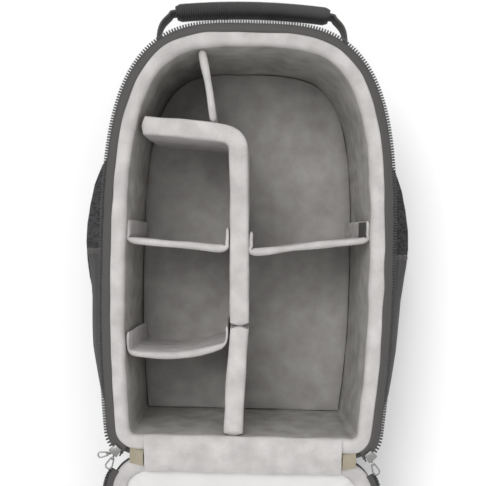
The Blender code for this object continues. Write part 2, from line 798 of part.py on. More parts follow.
def build_sliders():
    """A slider on each end of the body's zip, parked on the base corner's arc, with its pulls."""
    corner_x, corner_v, _ = corner_of(0.0, BASE_CORNER)
    centre = Vector((corner_x, corner_v - ORIGIN_V, RIM_Z))
    chain_in = BASE_CORNER + ZIP_REACH - CHAIN_WIDTH
    chain_out = BASE_CORNER + ZIP_REACH
    clear = 2 * GAP
    low, high = CHAIN_TOP - CHAIN_HEIGHT - clear / 2, CHAIN_TOP + clear / 2
    throat = (TAPE_Z - GAP, TAPE_Z + TAPE + GAP)
    mouth = chain_in - clear - 2.8 * MM
    outer = chain_out + clear + SLIDER_PLATE
    section = [
        (mouth, low - SLIDER_PLATE),
        (outer, low - SLIDER_PLATE),
        (outer, high + SLIDER_PLATE),
        (mouth, high + SLIDER_PLATE),
        (mouth, throat[1]),
        (chain_in - clear, throat[1]),
        (chain_in - clear, high),
        (chain_out + clear, high),
        (chain_out + clear, low),
        (chain_in - clear, low),
        (chain_in - clear, throat[0]),
        (mouth, throat[0]),
    ]
    level = (low + high) / 2
    eye = outer + LUG_RADIUS + GAP
    ring = ("ring", SLIDER_AT + EYE_STEP, RING_POINTS, RING_REACH, RING_RADIUS)
    tag = ("tag", SLIDER_AT - EYE_STEP, TAG_POINTS, TAG_LENGTH, TAG_HALF_WIDTH)
    for side, sign, pulls in (("left", -1, (ring, tag)), ("right", 1, (ring,))):

        def facing(degrees_down, length=1.0, sign=sign):
            """A level vector that points outwards and that far down towards the base."""
            return Vector((sign * math.cos(degrees_down), -math.sin(degrees_down), 0)) * length

        middle = Vector((sign * centre.x, centre.y, level))
        pivot = axis_empty("slider_arc_" + side, middle)
        turns = [SLIDER_AT + SLIDER_SPAN * (2 * i / SLIDER_STEPS - 1) for i in range(SLIDER_STEPS + 1)]
        rings = []
        for turn in turns:
            flat = facing(turn)
            rings.append([(middle.x + flat.x * r, middle.y + flat.y * r, z) for r, z in section])
        bm = bmesh.new()
        made = skin(bm, rings, caps=False)
        for a, b, c, d in ((0, 1, 8, 9), (0, 9, 10, 11), (1, 2, 7, 8), (2, 3, 6, 7), (3, 4, 5, 6)):
            for end in (made[0], made[-1]):
                bm.faces.new((end[a], end[b], end[c], end[d]))
        place("slider_" + side, outward(bm), "gunmetal", pivot)
        for name, turn, points_to, length, far in pulls:
            direction = facing(points_to)
            at = middle + facing(turn, eye)
            place("eye_" + name + "_" + side, lug(at, direction), "gunmetal", pivot)
            loop = wire_loop(pull_points(at, direction, length - far, far), Vector((0, 0, 1)))
            swing = axis_empty("swing_" + name + "_" + side, at, pivot)
            place("pull_" + name + "_" + side, loop, "gunmetal", swing)


# ---------------------------------------------------------------- grab handle


def handle_path():
    """The webbing's centreline in the plane of the handle, from the right pivot to the left one."""
    spread, axis = HANDLE_SPREAD, HANDLE_AXIS_Y
    right = [
        Vector((spread, axis)),
        Vector((spread, axis + 0.35 * HANDLE_RISE)),
        Vector((spread - 3 * MM, axis + 0.62 * HANDLE_RISE)),
        Vector((spread - 11 * MM, axis + 0.82 * HANDLE_RISE)),
        Vector((GRIP_HALF_LENGTH, axis + 0.9 * HANDLE_RISE)),
        Vector((0.5 * GRIP_HALF_LENGTH, axis + 0.975 * HANDLE_RISE)),
    ]
    points = smoothed([*right, Vector((0, axis + HANDLE_RISE))], 2)
    return points + [Vector((-p.x, p.y)) for p in reversed(points[:-1])]


def webbing_ring(point, normal, half_thick, half_wide):
    """Corners of a section: thick across the path in its plane, wide along Z."""
    t, w = half_thick, half_wide
    corners = ((t, -w), (t, w), (-t, w), (-t, -w))
    return [(*(point + normal * thick), HANDLE_Z + wide) for thick, wide in corners]


def build_handle():
    pivot = axis_empty("handle_axis", (0, HANDLE_AXIS_Y, HANDLE_Z))
    points = handle_path()
    normals = side_normals(points)
    half = HANDLE_WEB_WIDTH / 2
    rings = [webbing_ring(p, n, WEBBING / 2, half) for p, n in zip(points, normals)]
    start, end = [], []
    for degrees in (18, 36, 54, 70):
        turn = math.radians(degrees)
        drop, wide = half * math.sin(turn), half * math.cos(turn)
        for rows, point in ((start, points[0]), (end, points[-1])):
            normal = normals[0] if rows is start else normals[-1]
            level = Vector((math.copysign(1, normal.x), 0))
            rows.append(webbing_ring(point - Vector((0, drop)), level, WEBBING / 2, wide))
    bm = bmesh.new()
    skin(bm, [*reversed(start), *rings, *end])
    place("handle_webbing", outward(bm), "black_webbing", pivot)

    inside = [i for i, p in enumerate(points) if abs(p.x) <= GRIP_HALF_LENGTH + MM]
    outer, inner = [], []
    for i in inside:
        sections = (
            (outer, GRIP_THICK / 2, GRIP_WIDE / 2),
            (inner, WEBBING / 2 + GAP, half + GAP),
        )
        for rows, thick, wide in sections:
            corner = min(0.45 * thick, 4 * MM)
            ring = rounded_box_points(-thick, -wide, thick, wide, corner, 2)
            rows.append([(*(points[i] + normals[i] * t), HANDLE_Z + w) for t, w in ring])
    place("handle_grip", sleeve(outer, inner), "black_nylon", pivot)

    tab = half + GAP
    seat = crown_y(HANDLE_SPREAD - WEBBING / 2) + GAP
    near, far = HANDLE_SPREAD - WEBBING / 2, HANDLE_SPREAD + WEBBING / 2
    for side in ("left", "right"):
        rings = []
        for i in range(ANCHOR_STEPS + 1):
            turn = math.radians(200 + 140 * i / ANCHOR_STEPS)
            cupped, z = HANDLE_AXIS_Y + tab * math.sin(turn), HANDLE_Z + tab * math.cos(turn)
            rings.append([(near, seat, z), (far, seat, z), (far, cupped, z), (near, cupped, z)])
        bm = bmesh.new()
        skin(bm, rings)
        place("handle_anchor_" + side, sided(outward(bm), side), "black_webbing")


# ---------------------------------------------------------------- harness


def build_harness():
    points = rounded_box_points(-BACK_PAD_HALF, BACK_PAD_LOW_Y, BACK_PAD_HALF, BACK_PAD_HIGH_Y, BACK_PAD_CORNER)
    place("back_pad", prism(points, points, 0, BACK_PAD_HEIGHT), "air_mesh")
    yoke = rounded_box_points(-YOKE_HALF, YOKE_LOW_Y, YOKE_HALF, YOKE_HIGH_Y, 8 * MM)
    place("harness_yoke", prism(yoke, yoke, 2 * MM, BACK_PAD_HEIGHT), "black_nylon")
    strap_route = ((41, 149.7), (41.5, 134), (60, 115), (100, 97), (131, 62))
    strap_route += ((143, 10), (139, -40), (123, -90), (105, -128))
    strap_points = smoothed([Vector((x * MM, y * MM)) for x, y in strap_route])
    lock_top = strap_points[-1]
    down = (strap_points[-1] - strap_points[-2]).normalized()
    lock_start = lock_top + down * GAP
    lock_end = lock_start + down * LOCK_LENGTH
    wing_tip = lock_end + down * 24 * MM
    for side in ("left", "right"):
        strap = band(strap_points, STRAP_HALF, 0, STRAP_THICK, square_start=True)
        place("shoulder_strap_" + side, sided(strap, side), "air_mesh")
        lock = build_lock(lock_start, down)
        place("ladder_lock_" + side, sided(lock, side), "black_plastic")
        web = band([lock_end + down * GAP, wing_tip], STRAP_WEB_HALF, 2 * MM, 2 * MM + STRAP_WEB)
        place("strap_webbing_" + side, sided(web, side), "black_webbing")
        wing = [
            (wing_tip.x - 16 * MM, wing_tip.y + 4 * MM),
            (wing_tip.x + 16 * MM, wing_tip.y - 2 * MM),
            (wing_tip.x + 8 * MM, -ORIGIN_V + 6 * MM),
            (wing_tip.x - 34 * MM, -ORIGIN_V + 6 * MM),
        ]
        fabric = prism(wing, wing, 2 * MM + STRAP_WEB + GAP, BACK_PAD_HEIGHT)
        place("strap_wing_" + side, sided(fabric, side), "black_nylon")


def build_lock(start, down):
    """A ladder lock: a frame of three bars across the strap, with two slots between them."""
    across = Vector((-down.y, down.x))
    slot = (LOCK_LENGTH - 3 * LOCK_BAR) / 2
    rows = [0, LOCK_BAR, LOCK_BAR + slot, 2 * LOCK_BAR + slot, 2 * LOCK_BAR + 2 * slot, LOCK_LENGTH]
    columns = [-LOCK_HALF, -LOCK_HALF + LOCK_BAR, LOCK_HALF - LOCK_BAR, LOCK_HALF]
    bm = bmesh.new()
    grid = [[bm.verts.new((*(start + down * r + across * c), GAP)) for c in columns] for r in rows]
    for i in range(len(rows) - 1):
        for j in range(len(columns) - 1):
            if i % 2 == 0 or j != 1:
                bm.faces.new((grid[i][j], grid[i][j + 1], grid[i + 1][j + 1], grid[i + 1][j]))
    raised = bmesh.ops.extrude_face_region(bm, geom=bm.faces[:])["geom"]
    tops = [item for item in raised if isinstance(item, bmesh.types.BMVert)]
    bmesh.ops.translate(bm, vec=(0, 0, LOCK_HEIGHT), verts=tops)
    return outward(bm)


# ---------------------------------------------------------------- whole bag


def main():
    for old in list(bpy.data.objects):
        bpy.data.objects.remove(old)
    loop = outline()
    build_floor(loop)
    build_walls(loop)
    build_body_zip(loop)
    build_base()
    build_dividers()
    build_side_pockets()
    lid = axis_empty("lid_hinge", (0, HINGE_Y, RIM_Z))
    build_lid(lid)
    build_lid_pocket(lid)
    build_front_pocket(lid)
    build_hinge_cloth()
    build_sliders()
    build_handle()
    build_harness()
    bpy.context.view_layer.update()


main()
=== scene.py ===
"""The looks of an open camera backpack, laid out as a Blender add-on.

Each operator makes one piece, or one group of pieces that are sewn together. Lengths are in metres, in the part's
own frame: X runs across the bag, Y from its base to its crown, and Z from the harness to the lid.
"""

import json
import math

import bmesh
import bpy
import numpy as np
from mathutils import Matrix, Vector, noise

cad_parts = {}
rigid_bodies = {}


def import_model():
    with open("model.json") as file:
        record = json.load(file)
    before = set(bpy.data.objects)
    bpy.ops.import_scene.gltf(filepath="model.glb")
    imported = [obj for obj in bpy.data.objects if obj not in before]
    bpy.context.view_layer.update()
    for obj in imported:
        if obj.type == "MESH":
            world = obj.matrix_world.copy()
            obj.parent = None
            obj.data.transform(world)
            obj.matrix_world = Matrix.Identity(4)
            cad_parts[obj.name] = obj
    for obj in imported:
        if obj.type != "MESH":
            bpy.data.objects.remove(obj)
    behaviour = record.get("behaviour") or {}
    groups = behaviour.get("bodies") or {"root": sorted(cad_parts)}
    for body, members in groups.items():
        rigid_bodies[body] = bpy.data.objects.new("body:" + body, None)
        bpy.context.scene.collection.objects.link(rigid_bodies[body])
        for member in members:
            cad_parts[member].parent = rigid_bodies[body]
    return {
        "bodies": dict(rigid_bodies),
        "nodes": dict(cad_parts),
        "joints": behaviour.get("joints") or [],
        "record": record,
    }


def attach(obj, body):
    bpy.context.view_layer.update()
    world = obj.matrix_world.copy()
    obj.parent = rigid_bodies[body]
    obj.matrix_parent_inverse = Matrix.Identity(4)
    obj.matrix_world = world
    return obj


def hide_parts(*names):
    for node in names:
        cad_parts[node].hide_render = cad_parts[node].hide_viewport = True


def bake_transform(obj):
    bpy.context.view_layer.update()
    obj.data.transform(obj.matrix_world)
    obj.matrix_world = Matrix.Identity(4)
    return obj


bl_info = {
    "name": "Camera backpack",
    "version": (1, 0, 0),
    "blender": (4, 5, 0),
    "location": "3D View > Sidebar > Backpack",
    "description": "Makes the cloth, padding, zip and harness of an open camera backpack",
    "category": "Object",
}

MM = 0.001
CATEGORY = "Backpack"

# The bag's outline, v measured from the base edge, as in the solid model.
HALF_WIDTH = 131.3 * MM
CROWN_V = 399 * MM
SHOULDER_V = 165 * MM
ARCH_POWER = 3.45
SIDE_CURVE = 0.000406 / MM
ZIP_REACH = 8 * MM
ORIGIN_V = (CROWN_V + ZIP_REACH) / 2
BASE_CORNER = 22 * MM
LID_CORNER = 38 * MM
BODY_ZIP_FROM = 2 / 6  # share of the base corner's arc
LID_ZIP_FROM = 4 / 6

RIM_Z = 150 * MM
HINGE = Vector((0, -206.5 * MM, RIM_Z))
LID_SLOPE = math.radians(19.968)
LID_SETBACK = 3 * MM
FLOOR_TOP = 28.1 * MM
HANDLE_Z = 50 * MM
HANDLE_AXIS_Y = 190 * MM

DENSE = 400  # points per quarter when the outline is traced


# ---------------------------------------------------------------- settings


class BackpackPaddingSettings(bpy.types.PropertyGroup):
    """Sizes of the foam-filled pieces."""

    step: bpy.props.FloatProperty(
        name="Step", description="Distance between points along a padded wall", default=3 * MM, unit="LENGTH"
    )
    fold: bpy.props.FloatProperty(
        name="Fold", description="Depth of the soft folds in the lining", default=2.4 * MM, unit="LENGTH"
    )
    rim_round: bpy.props.FloatProperty(
        name="Rim round", description="Radius of the lining's top edge", default=5.5 * MM, unit="LENGTH"
    )


class BackpackZipSettings(bpy.types.PropertyGroup):
    """Sizes of the zip's teeth and tapes."""

    pitch: bpy.props.FloatProperty(
        name="Pitch", description="Distance from one tooth to the next", default=2.5 * MM, unit="LENGTH"
    )
    tooth: bpy.props.FloatProperty(
        name="Tooth", description="Length of a tooth along the tape", default=1.6 * MM, unit="LENGTH"
    )
    width: bpy.props.FloatProperty(
        name="Width", description="Width of a tooth across the tape", default=3.4 * MM, unit="LENGTH"
    )


class BackpackClothSettings(bpy.types.PropertyGroup):
    """Sizes of the gathers in the pockets."""

    gather: bpy.props.FloatProperty(
        name="Gather", description="Depth of the gathers beside an elastic edge", default=1.3 * MM, unit="LENGTH"
    )
    gather_pitch: bpy.props.FloatProperty(
        name="Gather pitch", description="Distance from one gather to the next", default=7 * MM, unit="LENGTH"
    )
    pleat_pitch: bpy.props.FloatProperty(
        name="Pleat pitch", description="Distance between the handle sleeve's pleats", default=2.4 * MM, unit="LENGTH"
    )


# ---------------------------------------------------------------- materials


class Field:
    """A shader value that ordinary arithmetic works on."""

    def __init__(self, graph, socket):
        self.graph = graph
        self.socket = socket

    def _math(self, operation, *others):
        inputs = {i: value for i, value in enumerate((self, *others))}
        return self.graph.node("ShaderNodeMath", inputs, operation=operation)

    def __add__(self, other):
        return self._math("ADD", other)

    def __sub__(self, other):
        return self._math("SUBTRACT", other)

    def __mul__(self, other):
        return self._math("MULTIPLY", other)

    def __pow__(self, other):
        return self._math("POWER", other)

    def sine(self):
        return self._math("SINE")

    def positive(self):
        return self._math("MAXIMUM", 0.0)

    def mixed(self, low, high):
        """The colour between low and high, at this value from 0 to 1."""
        inputs = {"Factor": self, "A": (*low, 1), "B": (*high, 1)}
        node = self.graph.node("ShaderNodeMix", {}, data_type="RGBA").socket.node
        for name, value in inputs.items():
            socket = next(s for s in node.inputs if s.name == name and (name == "Factor" or s.type == "RGBA"))
            self.graph.feed(socket, value)
        return Field(self.graph, next(s for s in node.outputs if s.type == "RGBA"))


class Graph:
    """The node tree of one material."""

    def __init__(self, name):
        self.material = bpy.data.materials.new(name)
        self.material.use_nodes = True
        self.tree = self.material.node_tree
        self.shader = self.tree.nodes["Principled BSDF"]

    def feed(self, socket, value):
        if isinstance(value, Field):
            self.tree.links.new(value.socket, socket)
        else:
            socket.default_value = value

    def node(self, kind, inputs, output=0, **settings):
        """Makes a node, feeds its inputs and gives back one of its outputs."""
        made = self.tree.nodes.new(kind)
        for name, value in settings.items():
            setattr(made, name, value)
        for key, value in inputs.items():
            self.feed(made.inputs[key], value)
        return Field(self, made.outputs[output])

    def place(self):
        return self.node("ShaderNodeTexCoord", {}, "Object")

    def axis(self, name):
        return self.node("ShaderNodeSeparateXYZ", {0: self.place()}, name)

    def noise(self, scale, detail=3.0, stretch=None):
        place = self.place()
        if stretch is not None:
            place = self.node("ShaderNodeMapping", {"Vector": place, "Scale": stretch})
        return self.node("ShaderNodeTexNoise", {"Vector": place, "Scale": scale, "Detail": detail}, "Fac")

    def bump(self, height, strength, distance):
        normal = self.node("ShaderNodeBump", {"Height": height, "Strength": strength, "Distance": distance}, "Normal")
        self.feed(self.shader.inputs["Normal"], normal)

    def finish(self, colour, roughness, metallic=0.0, coat=0.0):
        self.feed(self.shader.inputs["Base Color"], colour)
        self.feed(self.shader.inputs["Roughness"], roughness)
        self.feed(self.shader.inputs["Metallic"], metallic)
        self.feed(self.shader.inputs["Coat Weight"], coat)
        return self.material


def pile_material(name, low, high):
    """Brushed loop pile: mottled, with a fine fuzzy relief."""
    graph = Graph(name)
    mottle = graph.noise(55.0, 5.0)
    fuzz = graph.noise(1500.0, 2.0)
    graph.bump(mottle * 0.5 + fuzz, 0.8, 1.0 * MM)
    tone = (mottle * 0.65 + fuzz * 0.35 - 0.28) * 2.1
    return graph.finish(tone.positive().mixed(low, high), 0.95)


def weave_material(name, low, high, pitch, roughness=0.75, relief=0.25):
    """Plain-woven cloth: threads that cross over one another."""
    graph = Graph(name)
    turn = 2 * math.pi / pitch
    across = (graph.axis("X") * turn).sine()
    along = ((graph.axis("Y") + graph.axis("Z")) * turn).sine()
    threads = across * along * 0.5 + 0.5
    worn = graph.noise(40.0, 4.0)
    graph.bump(threads + worn * 0.6, relief, 0.3 * MM)
    return graph.finish((threads * 0.5 + worn * 0.5).mixed(low, high), roughness)


def webbing_material(name, low, high, pitch=2.2 * MM):
    """Ribbed webbing."""
    graph = Graph(name)
    turn = 2 * math.pi / pitch
    ribs = ((graph.axis("X") + graph.axis("Y") + graph.axis("Z") * 0.7) * turn).sine() * 0.5 + 0.5
    graph.bump(ribs, 0.4, 0.3 * MM)
    return graph.finish(ribs.mixed(low, high), 0.7)


def mesh_material(name, low, high):
    """Spacer mesh: round holes in a regular net."""
    graph = Graph(name)
    cells = graph.node("ShaderNodeTexVoronoi", {"Vector": graph.place(), "Scale": 330.0}, "Distance")
    graph.bump(cells, 0.6, 0.8 * MM)
    return graph.finish((cells * 1.4).mixed(low, high), 0.85)


def worn_material(name, low, high, roughness, metallic=0.0, coat=0.0):
    """A hard surface with a little wear."""
    graph = Graph(name)
    worn = graph.noise(120.0, 6.0)
    graph.bump(worn, 0.08, 0.2 * MM)
    return graph.finish(worn.mixed(low, high), worn * 0.2 + roughness, metallic, coat)


def make_materials():
    """Every material of the bag, by the record's slot names."""
    return {
        "black_nylon": weave_material("nylon", (0.022, 0.021, 0.022), (0.070, 0.067, 0.066), 1.1 * MM),
        "black_webbing": webbing_material("webbing", (0.030, 0.028, 0.028), (0.095, 0.090, 0.087)),
        "air_mesh": mesh_material("spacer_mesh", (0.010, 0.010, 0.011), (0.055, 0.055, 0.058)),
        "grey_lining": pile_material("lining_pile", (0.40, 0.385, 0.378), (0.66, 0.64, 0.63)),
        # A darker copy of the lining pile: painted shade for the inner walls below the rim, where less light falls
        "wall_pile_painted_shade": pile_material("wall_pile_painted_shade", (0.25, 0.24, 0.225), (0.50, 0.485, 0.46)),
        "grey_floor": pile_material("floor_pile", (0.27, 0.26, 0.25), (0.46, 0.445, 0.43)),
        "pocket_cloth": weave_material("pocket_cloth", (0.58, 0.575, 0.57), (0.72, 0.715, 0.705), 0.9 * MM, 0.7, 0.2),
        "khaki_webbing": weave_material("khaki_twill", (0.24, 0.21, 0.15), (0.40, 0.36, 0.27), 1.2 * MM),
        "zip_coil": worn_material("zip_teeth", (0.012, 0.012, 0.013), (0.035, 0.035, 0.037), 0.25, coat=0.3),
        "gunmetal": worn_material("dull_plating", (0.20, 0.20, 0.20), (0.38, 0.38, 0.37), 0.28, metallic=1.0),
        "black_plastic": worn_material("acetal", (0.012, 0.012, 0.012), (0.028, 0.028, 0.028), 0.35),
        "black_rubber": worn_material("coated_cloth", (0.012, 0.012, 0.012), (0.03, 0.03, 0.03), 0.6),
        "frame_board": worn_material("board", (0.45, 0.45, 0.43), (0.58, 0.58, 0.56), 0.4),
    }


# ---------------------------------------------------------------- outline


def side_x(v):
    """Half width of the bag at v."""
    if v <= SHOULDER_V:
        return HALF_WIDTH - SIDE_CURVE * (SHOULDER_V - v) ** 2
    rise = min(1.0, (v - SHOULDER_V) / (CROWN_V - SHOULDER_V))
    return HALF_WIDTH * max(0.0, 1 - rise**ARCH_POWER) ** (1 / ARCH_POWER)


def crown_y(x):
    """Y of the outline's arch at x."""
    run = abs(x) / HALF_WIDTH
    return SHOULDER_V + (CROWN_V - SHOULDER_V) * (1 - run**ARCH_POWER) ** (1 / ARCH_POWER) - ORIGIN_V


def corner_of(radius):
    """Centre (x, v) and side angle of a base corner that meets the side without a kink."""
    v, angle = radius, 0.0
    for _ in range(20):
        angle = math.atan(2 * SIDE_CURVE * (SHOULDER_V - v))
        v = radius - radius * math.sin(angle)
    return side_x(v) - radius * math.cos(angle), radius, angle


def corner_point(radius, share):
    """The point (x, y) at a share of the right base corner's arc, from the base."""
    x, v, angle = corner_of(radius)
    turn = -math.pi / 2 + (math.pi / 2 - angle) * share
    return np.array((x + radius * math.cos(turn), v + radius * math.sin(turn) - ORIGIN_V))


class Loop:
    """The outline as even points with outward normals, counter-clockwise from the middle of the base."""

    def __init__(self, corner, step):
        half = [np.array((0.0, -ORIGIN_V))]
        half += [corner_point(corner, i / DENSE) for i in range(DENSE + 1)]
        low_v = half[-1][1] + ORIGIN_V
        for i in range(1, DENSE + 1):
            v = low_v + (SHOULDER_V - low_v) * i / DENSE
            half.append(np.array((side_x(v), v - ORIGIN_V)))
        for i in range(1, DENSE + 1):
            turn = math.pi / 2 * i / DENSE
            across = max(0.0, math.cos(turn)) ** (2 / ARCH_POWER)
            up = math.sin(turn) ** (2 / ARCH_POWER)
            half.append(np.array((HALF_WIDTH * across, SHOULDER_V + (CROWN_V - SHOULDER_V) * up - ORIGIN_V)))
        half = np.array(half)
        half[-1, 0] = 0.0
        trace = np.concatenate([half, half[-2:0:-1] * (-1, 1), half[:1]])
        along = np.concatenate([[0], np.cumsum(np.linalg.norm(np.diff(trace, axis=0), axis=1))])
        self.length = along[-1]
        count = 2 * round(self.length / step / 2)
        self.at = np.arange(count) * self.length / count
        self.points = np.stack([np.interp(self.at, along, trace[:, k]) for k in range(2)], axis=1)
        ahead = np.roll(self.points, -1, axis=0) - np.roll(self.points, 1, axis=0)
        ahead /= np.linalg.norm(ahead, axis=1)[:, None]
        self.ahead = ahead
        self.normals = np.stack([ahead[:, 1], -ahead[:, 0]], axis=1)

    def from_corner(self, corner, share):
        """Indices of the run round the crown between the same place on both base corners."""
        place = corner_point(corner, share)
        first = int(np.argmin(np.linalg.norm(self.points - place, axis=1)))
        return np.arange(first, len(self.points) - first + 1)

    def rings(self, profile, indices=None):
        """Points of a profile of (outward, z) pairs carried round the outline."""
        indices = np.arange(len(self.points)) if indices is None else indices
        profile = np.array(profile)
        flat = self.points[indices, None] + self.normals[indices, None] * profile[None, :, :1]
        level = np.broadcast_to(profile[None, :, 1:], (len(indices), len(profile), 1))
        return np.concatenate([flat, level], axis=2)


def opened(points):
    """Points drawn on the closed lid, swung out to where the lid lies open."""
    points = np.asarray(points, float)
    turn = math.pi + LID_SLOPE
    away = points - np.array(HINGE)
    y = away[..., 1] * math.cos(turn) - away[..., 2] * math.sin(turn)
    z = away[..., 1] * math.sin(turn) + away[..., 2] * math.cos(turn)
    return np.stack([points[..., 0], y + HINGE.y, z + HINGE.z], axis=-1)


# ---------------------------------------------------------------- mesh helpers


def skin(bm, rings, closed_path=False, closed_section=True, caps=True):
    """Joins rings of points into a surface."""
    rows = [[bm.verts.new(p) for p in ring] for ring in np.asarray(rings, float)]
    count = len(rows[0])
    for i in range(len(rows) if closed_path else len(rows) - 1):
        a, b = rows[i], rows[(i + 1) % len(rows)]
        for j in range(count if closed_section else count - 1):
            k = (j + 1) % count
            bm.faces.new((a[j], a[k], b[k], b[j]))
    if caps and closed_section and not closed_path:
        bm.faces.new(list(reversed(rows[0])))
        bm.faces.new(rows[-1])
    return rows


def thicken(bm, rings, thick):
    """A sheet of cloth between a grid of points and the same grid moved along its normals."""
    rings = np.asarray(rings, float)
    du = np.gradient(rings, axis=0)
    dv = np.gradient(rings, axis=1)
    normal = np.cross(du, dv)
    normal /= np.maximum(np.linalg.norm(normal, axis=2), 1e-12)[..., None]
    both = np.concatenate([rings, (rings - normal * thick)[:, ::-1]], axis=1)
    return skin(bm, both)


def wrinkle(bm, amount, scale, seed=0.0, mask=None):
    """Moves every point along its normal by smooth noise. scale gives the waves per metre along each axis."""
    bm.normal_update()
    scale = Vector(scale)
    moves = []
    for vert in bm.verts:
        place = Vector((vert.co.x * scale.x, vert.co.y * scale.y, vert.co.z * scale.z + seed))
        share = 1.0 if mask is None else mask(vert.co)
        moves.append(vert.normal * (amount * share * noise.noise(place)))
    for vert, move in zip(bm.verts, moves):
        vert.co += move


class Kit:
    """What the operators share: the frame, the materials and the outlines."""

    def __init__(self):
        self.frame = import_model()
        self.materials = make_materials()
        self.body_loop = Loop(BASE_CORNER, 3 * MM)
        self.lid_loop = Loop(LID_CORNER, 3 * MM)

    def piece(self, name, bm, slot, body, nodes=(), pad=None):
        """Makes a named mesh object from bm, and says what it rides on and what it stands for."""
        bmesh.ops.recalc_face_normals(bm, faces=bm.faces)
        mesh = bpy.data.meshes.new(name)
        bm.to_mesh(mesh)
        bm.free()
        mesh.shade_smooth()
        mesh.set_sharp_from_angle(angle=math.radians(50))
        mesh.materials.append(self.materials[slot])
        made = bpy.data.objects.new(name, mesh)
        bpy.context.scene.collection.objects.link(made)
        if isinstance(body, str):
            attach(made, body)
        else:
            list(body)
            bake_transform(made)
        if nodes:
            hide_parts(*nodes)
        return made

    def rounded(self, node, radius, segments=3, smooth=0, ripple=None):
        """A mesh like a solid of the model, with its sharp edges rounded."""
        bm = bmesh.new()
        bm.from_mesh(self.frame["nodes"][node].data)
        bmesh.ops.remove_doubles(bm, verts=bm.verts, dist=0.001 * MM)
        bmesh.ops.dissolve_limit(bm, angle_limit=math.radians(1), verts=bm.verts, edges=bm.edges)
        sharp = [e for e in bm.edges if len(e.link_faces) == 2 and e.calc_face_angle() > math.radians(30)]
        if radius > 0:
            bmesh.ops.bevel(bm, geom=sharp, offset=radius, segments=segments, profile=0.5, affect="EDGES", clamp_overlap=True)
        bmesh.ops.triangulate(bm, faces=bm.faces)
        if smooth:
            long_edges = [e for e in bm.edges if e.calc_length() > smooth]
            for _ in range(5):
                if not long_edges:
                    break
                bmesh.ops.subdivide_edges(bm, edges=long_edges, cuts=1)
                bmesh.ops.triangulate(bm, faces=bm.faces)
                long_edges = [e for e in bm.edges if e.calc_length() > smooth]
        if ripple is not None:
            wrinkle(bm, *ripple)
        return bm


KIT = {}


def kit():
    """The shared kit, made when it is first asked for."""
    if "made" not in KIT:
        KIT["made"] = Kit()
    return KIT["made"]


# ---------------------------------------------------------------- main compartment


def arc(centre, radius, start, end, steps):
    """Points (outward, z) of an arc, by degrees."""
    turns = np.radians(np.linspace(start, end, steps + 1))
    return [(centre[0] + radius * math.cos(t), centre[1] + radius * math.sin(t)) for t in turns]


class BACKPACK_OT_lining(bpy.types.Operator):
    """Make the padded lining of the walls and the floor pad."""

    bl_idname = "backpack.lining"
    bl_label = "Lining and floor pad"

    def execute(self, context):
        k = kit()
        settings = context.scene.backpack_padding
        loop = k.body_loop
        rim = settings.rim_round
        top = RIM_Z - 1.0 * MM
        profile = [(-2.3 * MM, 19.5 * MM), (-2.3 * MM, 80 * MM), (-2.3 * MM, top - 3 * MM)]
        profile += arc((-5.3 * MM, top - 3 * MM), 3 * MM, 0, 90, 3)[1:]
        profile += arc((-16.2 * MM + rim, top - rim), rim, 90, 180, 5)
        face = np.linspace(0, 1, 22)[1:]
        low = np.array((-20.6 * MM, 20 * MM))
        high = np.array((-16.2 * MM, top - rim))
        profile += [tuple(high + (low - high) * t) for t in face]
        rings = loop.rings(profile)
        inner = np.arange(len(profile)) > 8
        for i, at in enumerate(loop.at):
            tall = rings[i, :, 2]
            bulge = np.clip((top - tall) / (60 * MM), 0, 1) * np.clip((tall - 20 * MM) / (25 * MM), 0, 1)
            turn = 2 * math.pi * at / loop.length
            wave = noise.noise(Vector((math.cos(turn) * 4.2, math.sin(turn) * 4.2, 2.0)))
            crease = noise.noise(Vector((math.cos(turn) * 13, math.sin(turn) * 13, 5.0)))
            push = (wave * 1.5 + crease * 0.9) * settings.fold * bulge * inner
            rings[i, :, :2] += loop.normals[i] * push[:, None]
        bm = bmesh.new()
        skin(bm, rings, closed_path=True)
        wrinkle(bm, 1.3 * MM, (45, 45, 30), 3.0, lambda p: 1.0 if p.z > 24 * MM else 0.0)
        # Faces below the rim's round get the darker pile: painted shade on the inner walls
        for face in bm.faces:
            face.material_index = int(face.calc_center_median().z < top - rim)
        nodes = ("liner_right", "liner_top", "liner_left", "liner_base")
        lining = k.piece("wall_lining", bm, "grey_lining", "bag", nodes, pad=0.7)
        lining.data.materials.append(k.materials["wall_pile_painted_shade"])

        bm = bmesh.new()
        centre = np.array((0.0, -3 * MM))
        shares = [0.001, 0.2, 0.4, 0.6, 0.8, 0.93, 0.985, 1.0, 1.0]
        levels = [0.3, 0.2, 0.2, 0.1, 0, -0.3, -0.8, -2.0, -8.4]
        edge = loop.points - loop.normals * 21.5 * MM
        rings = []
        for share, level in zip(shares, levels):
            flat = centre + (edge - centre) * share
            rings.append(np.column_stack([flat, np.full(len(flat), FLOOR_TOP + level * MM)]))
        skin(bm, rings)
        wrinkle(bm, 0.9 * MM, (28, 28, 10), 8.0)
        k.piece("floor_padding", bm, "grey_floor", "bag", ("floor_pad",), pad=0.8)
        return {"FINISHED"}


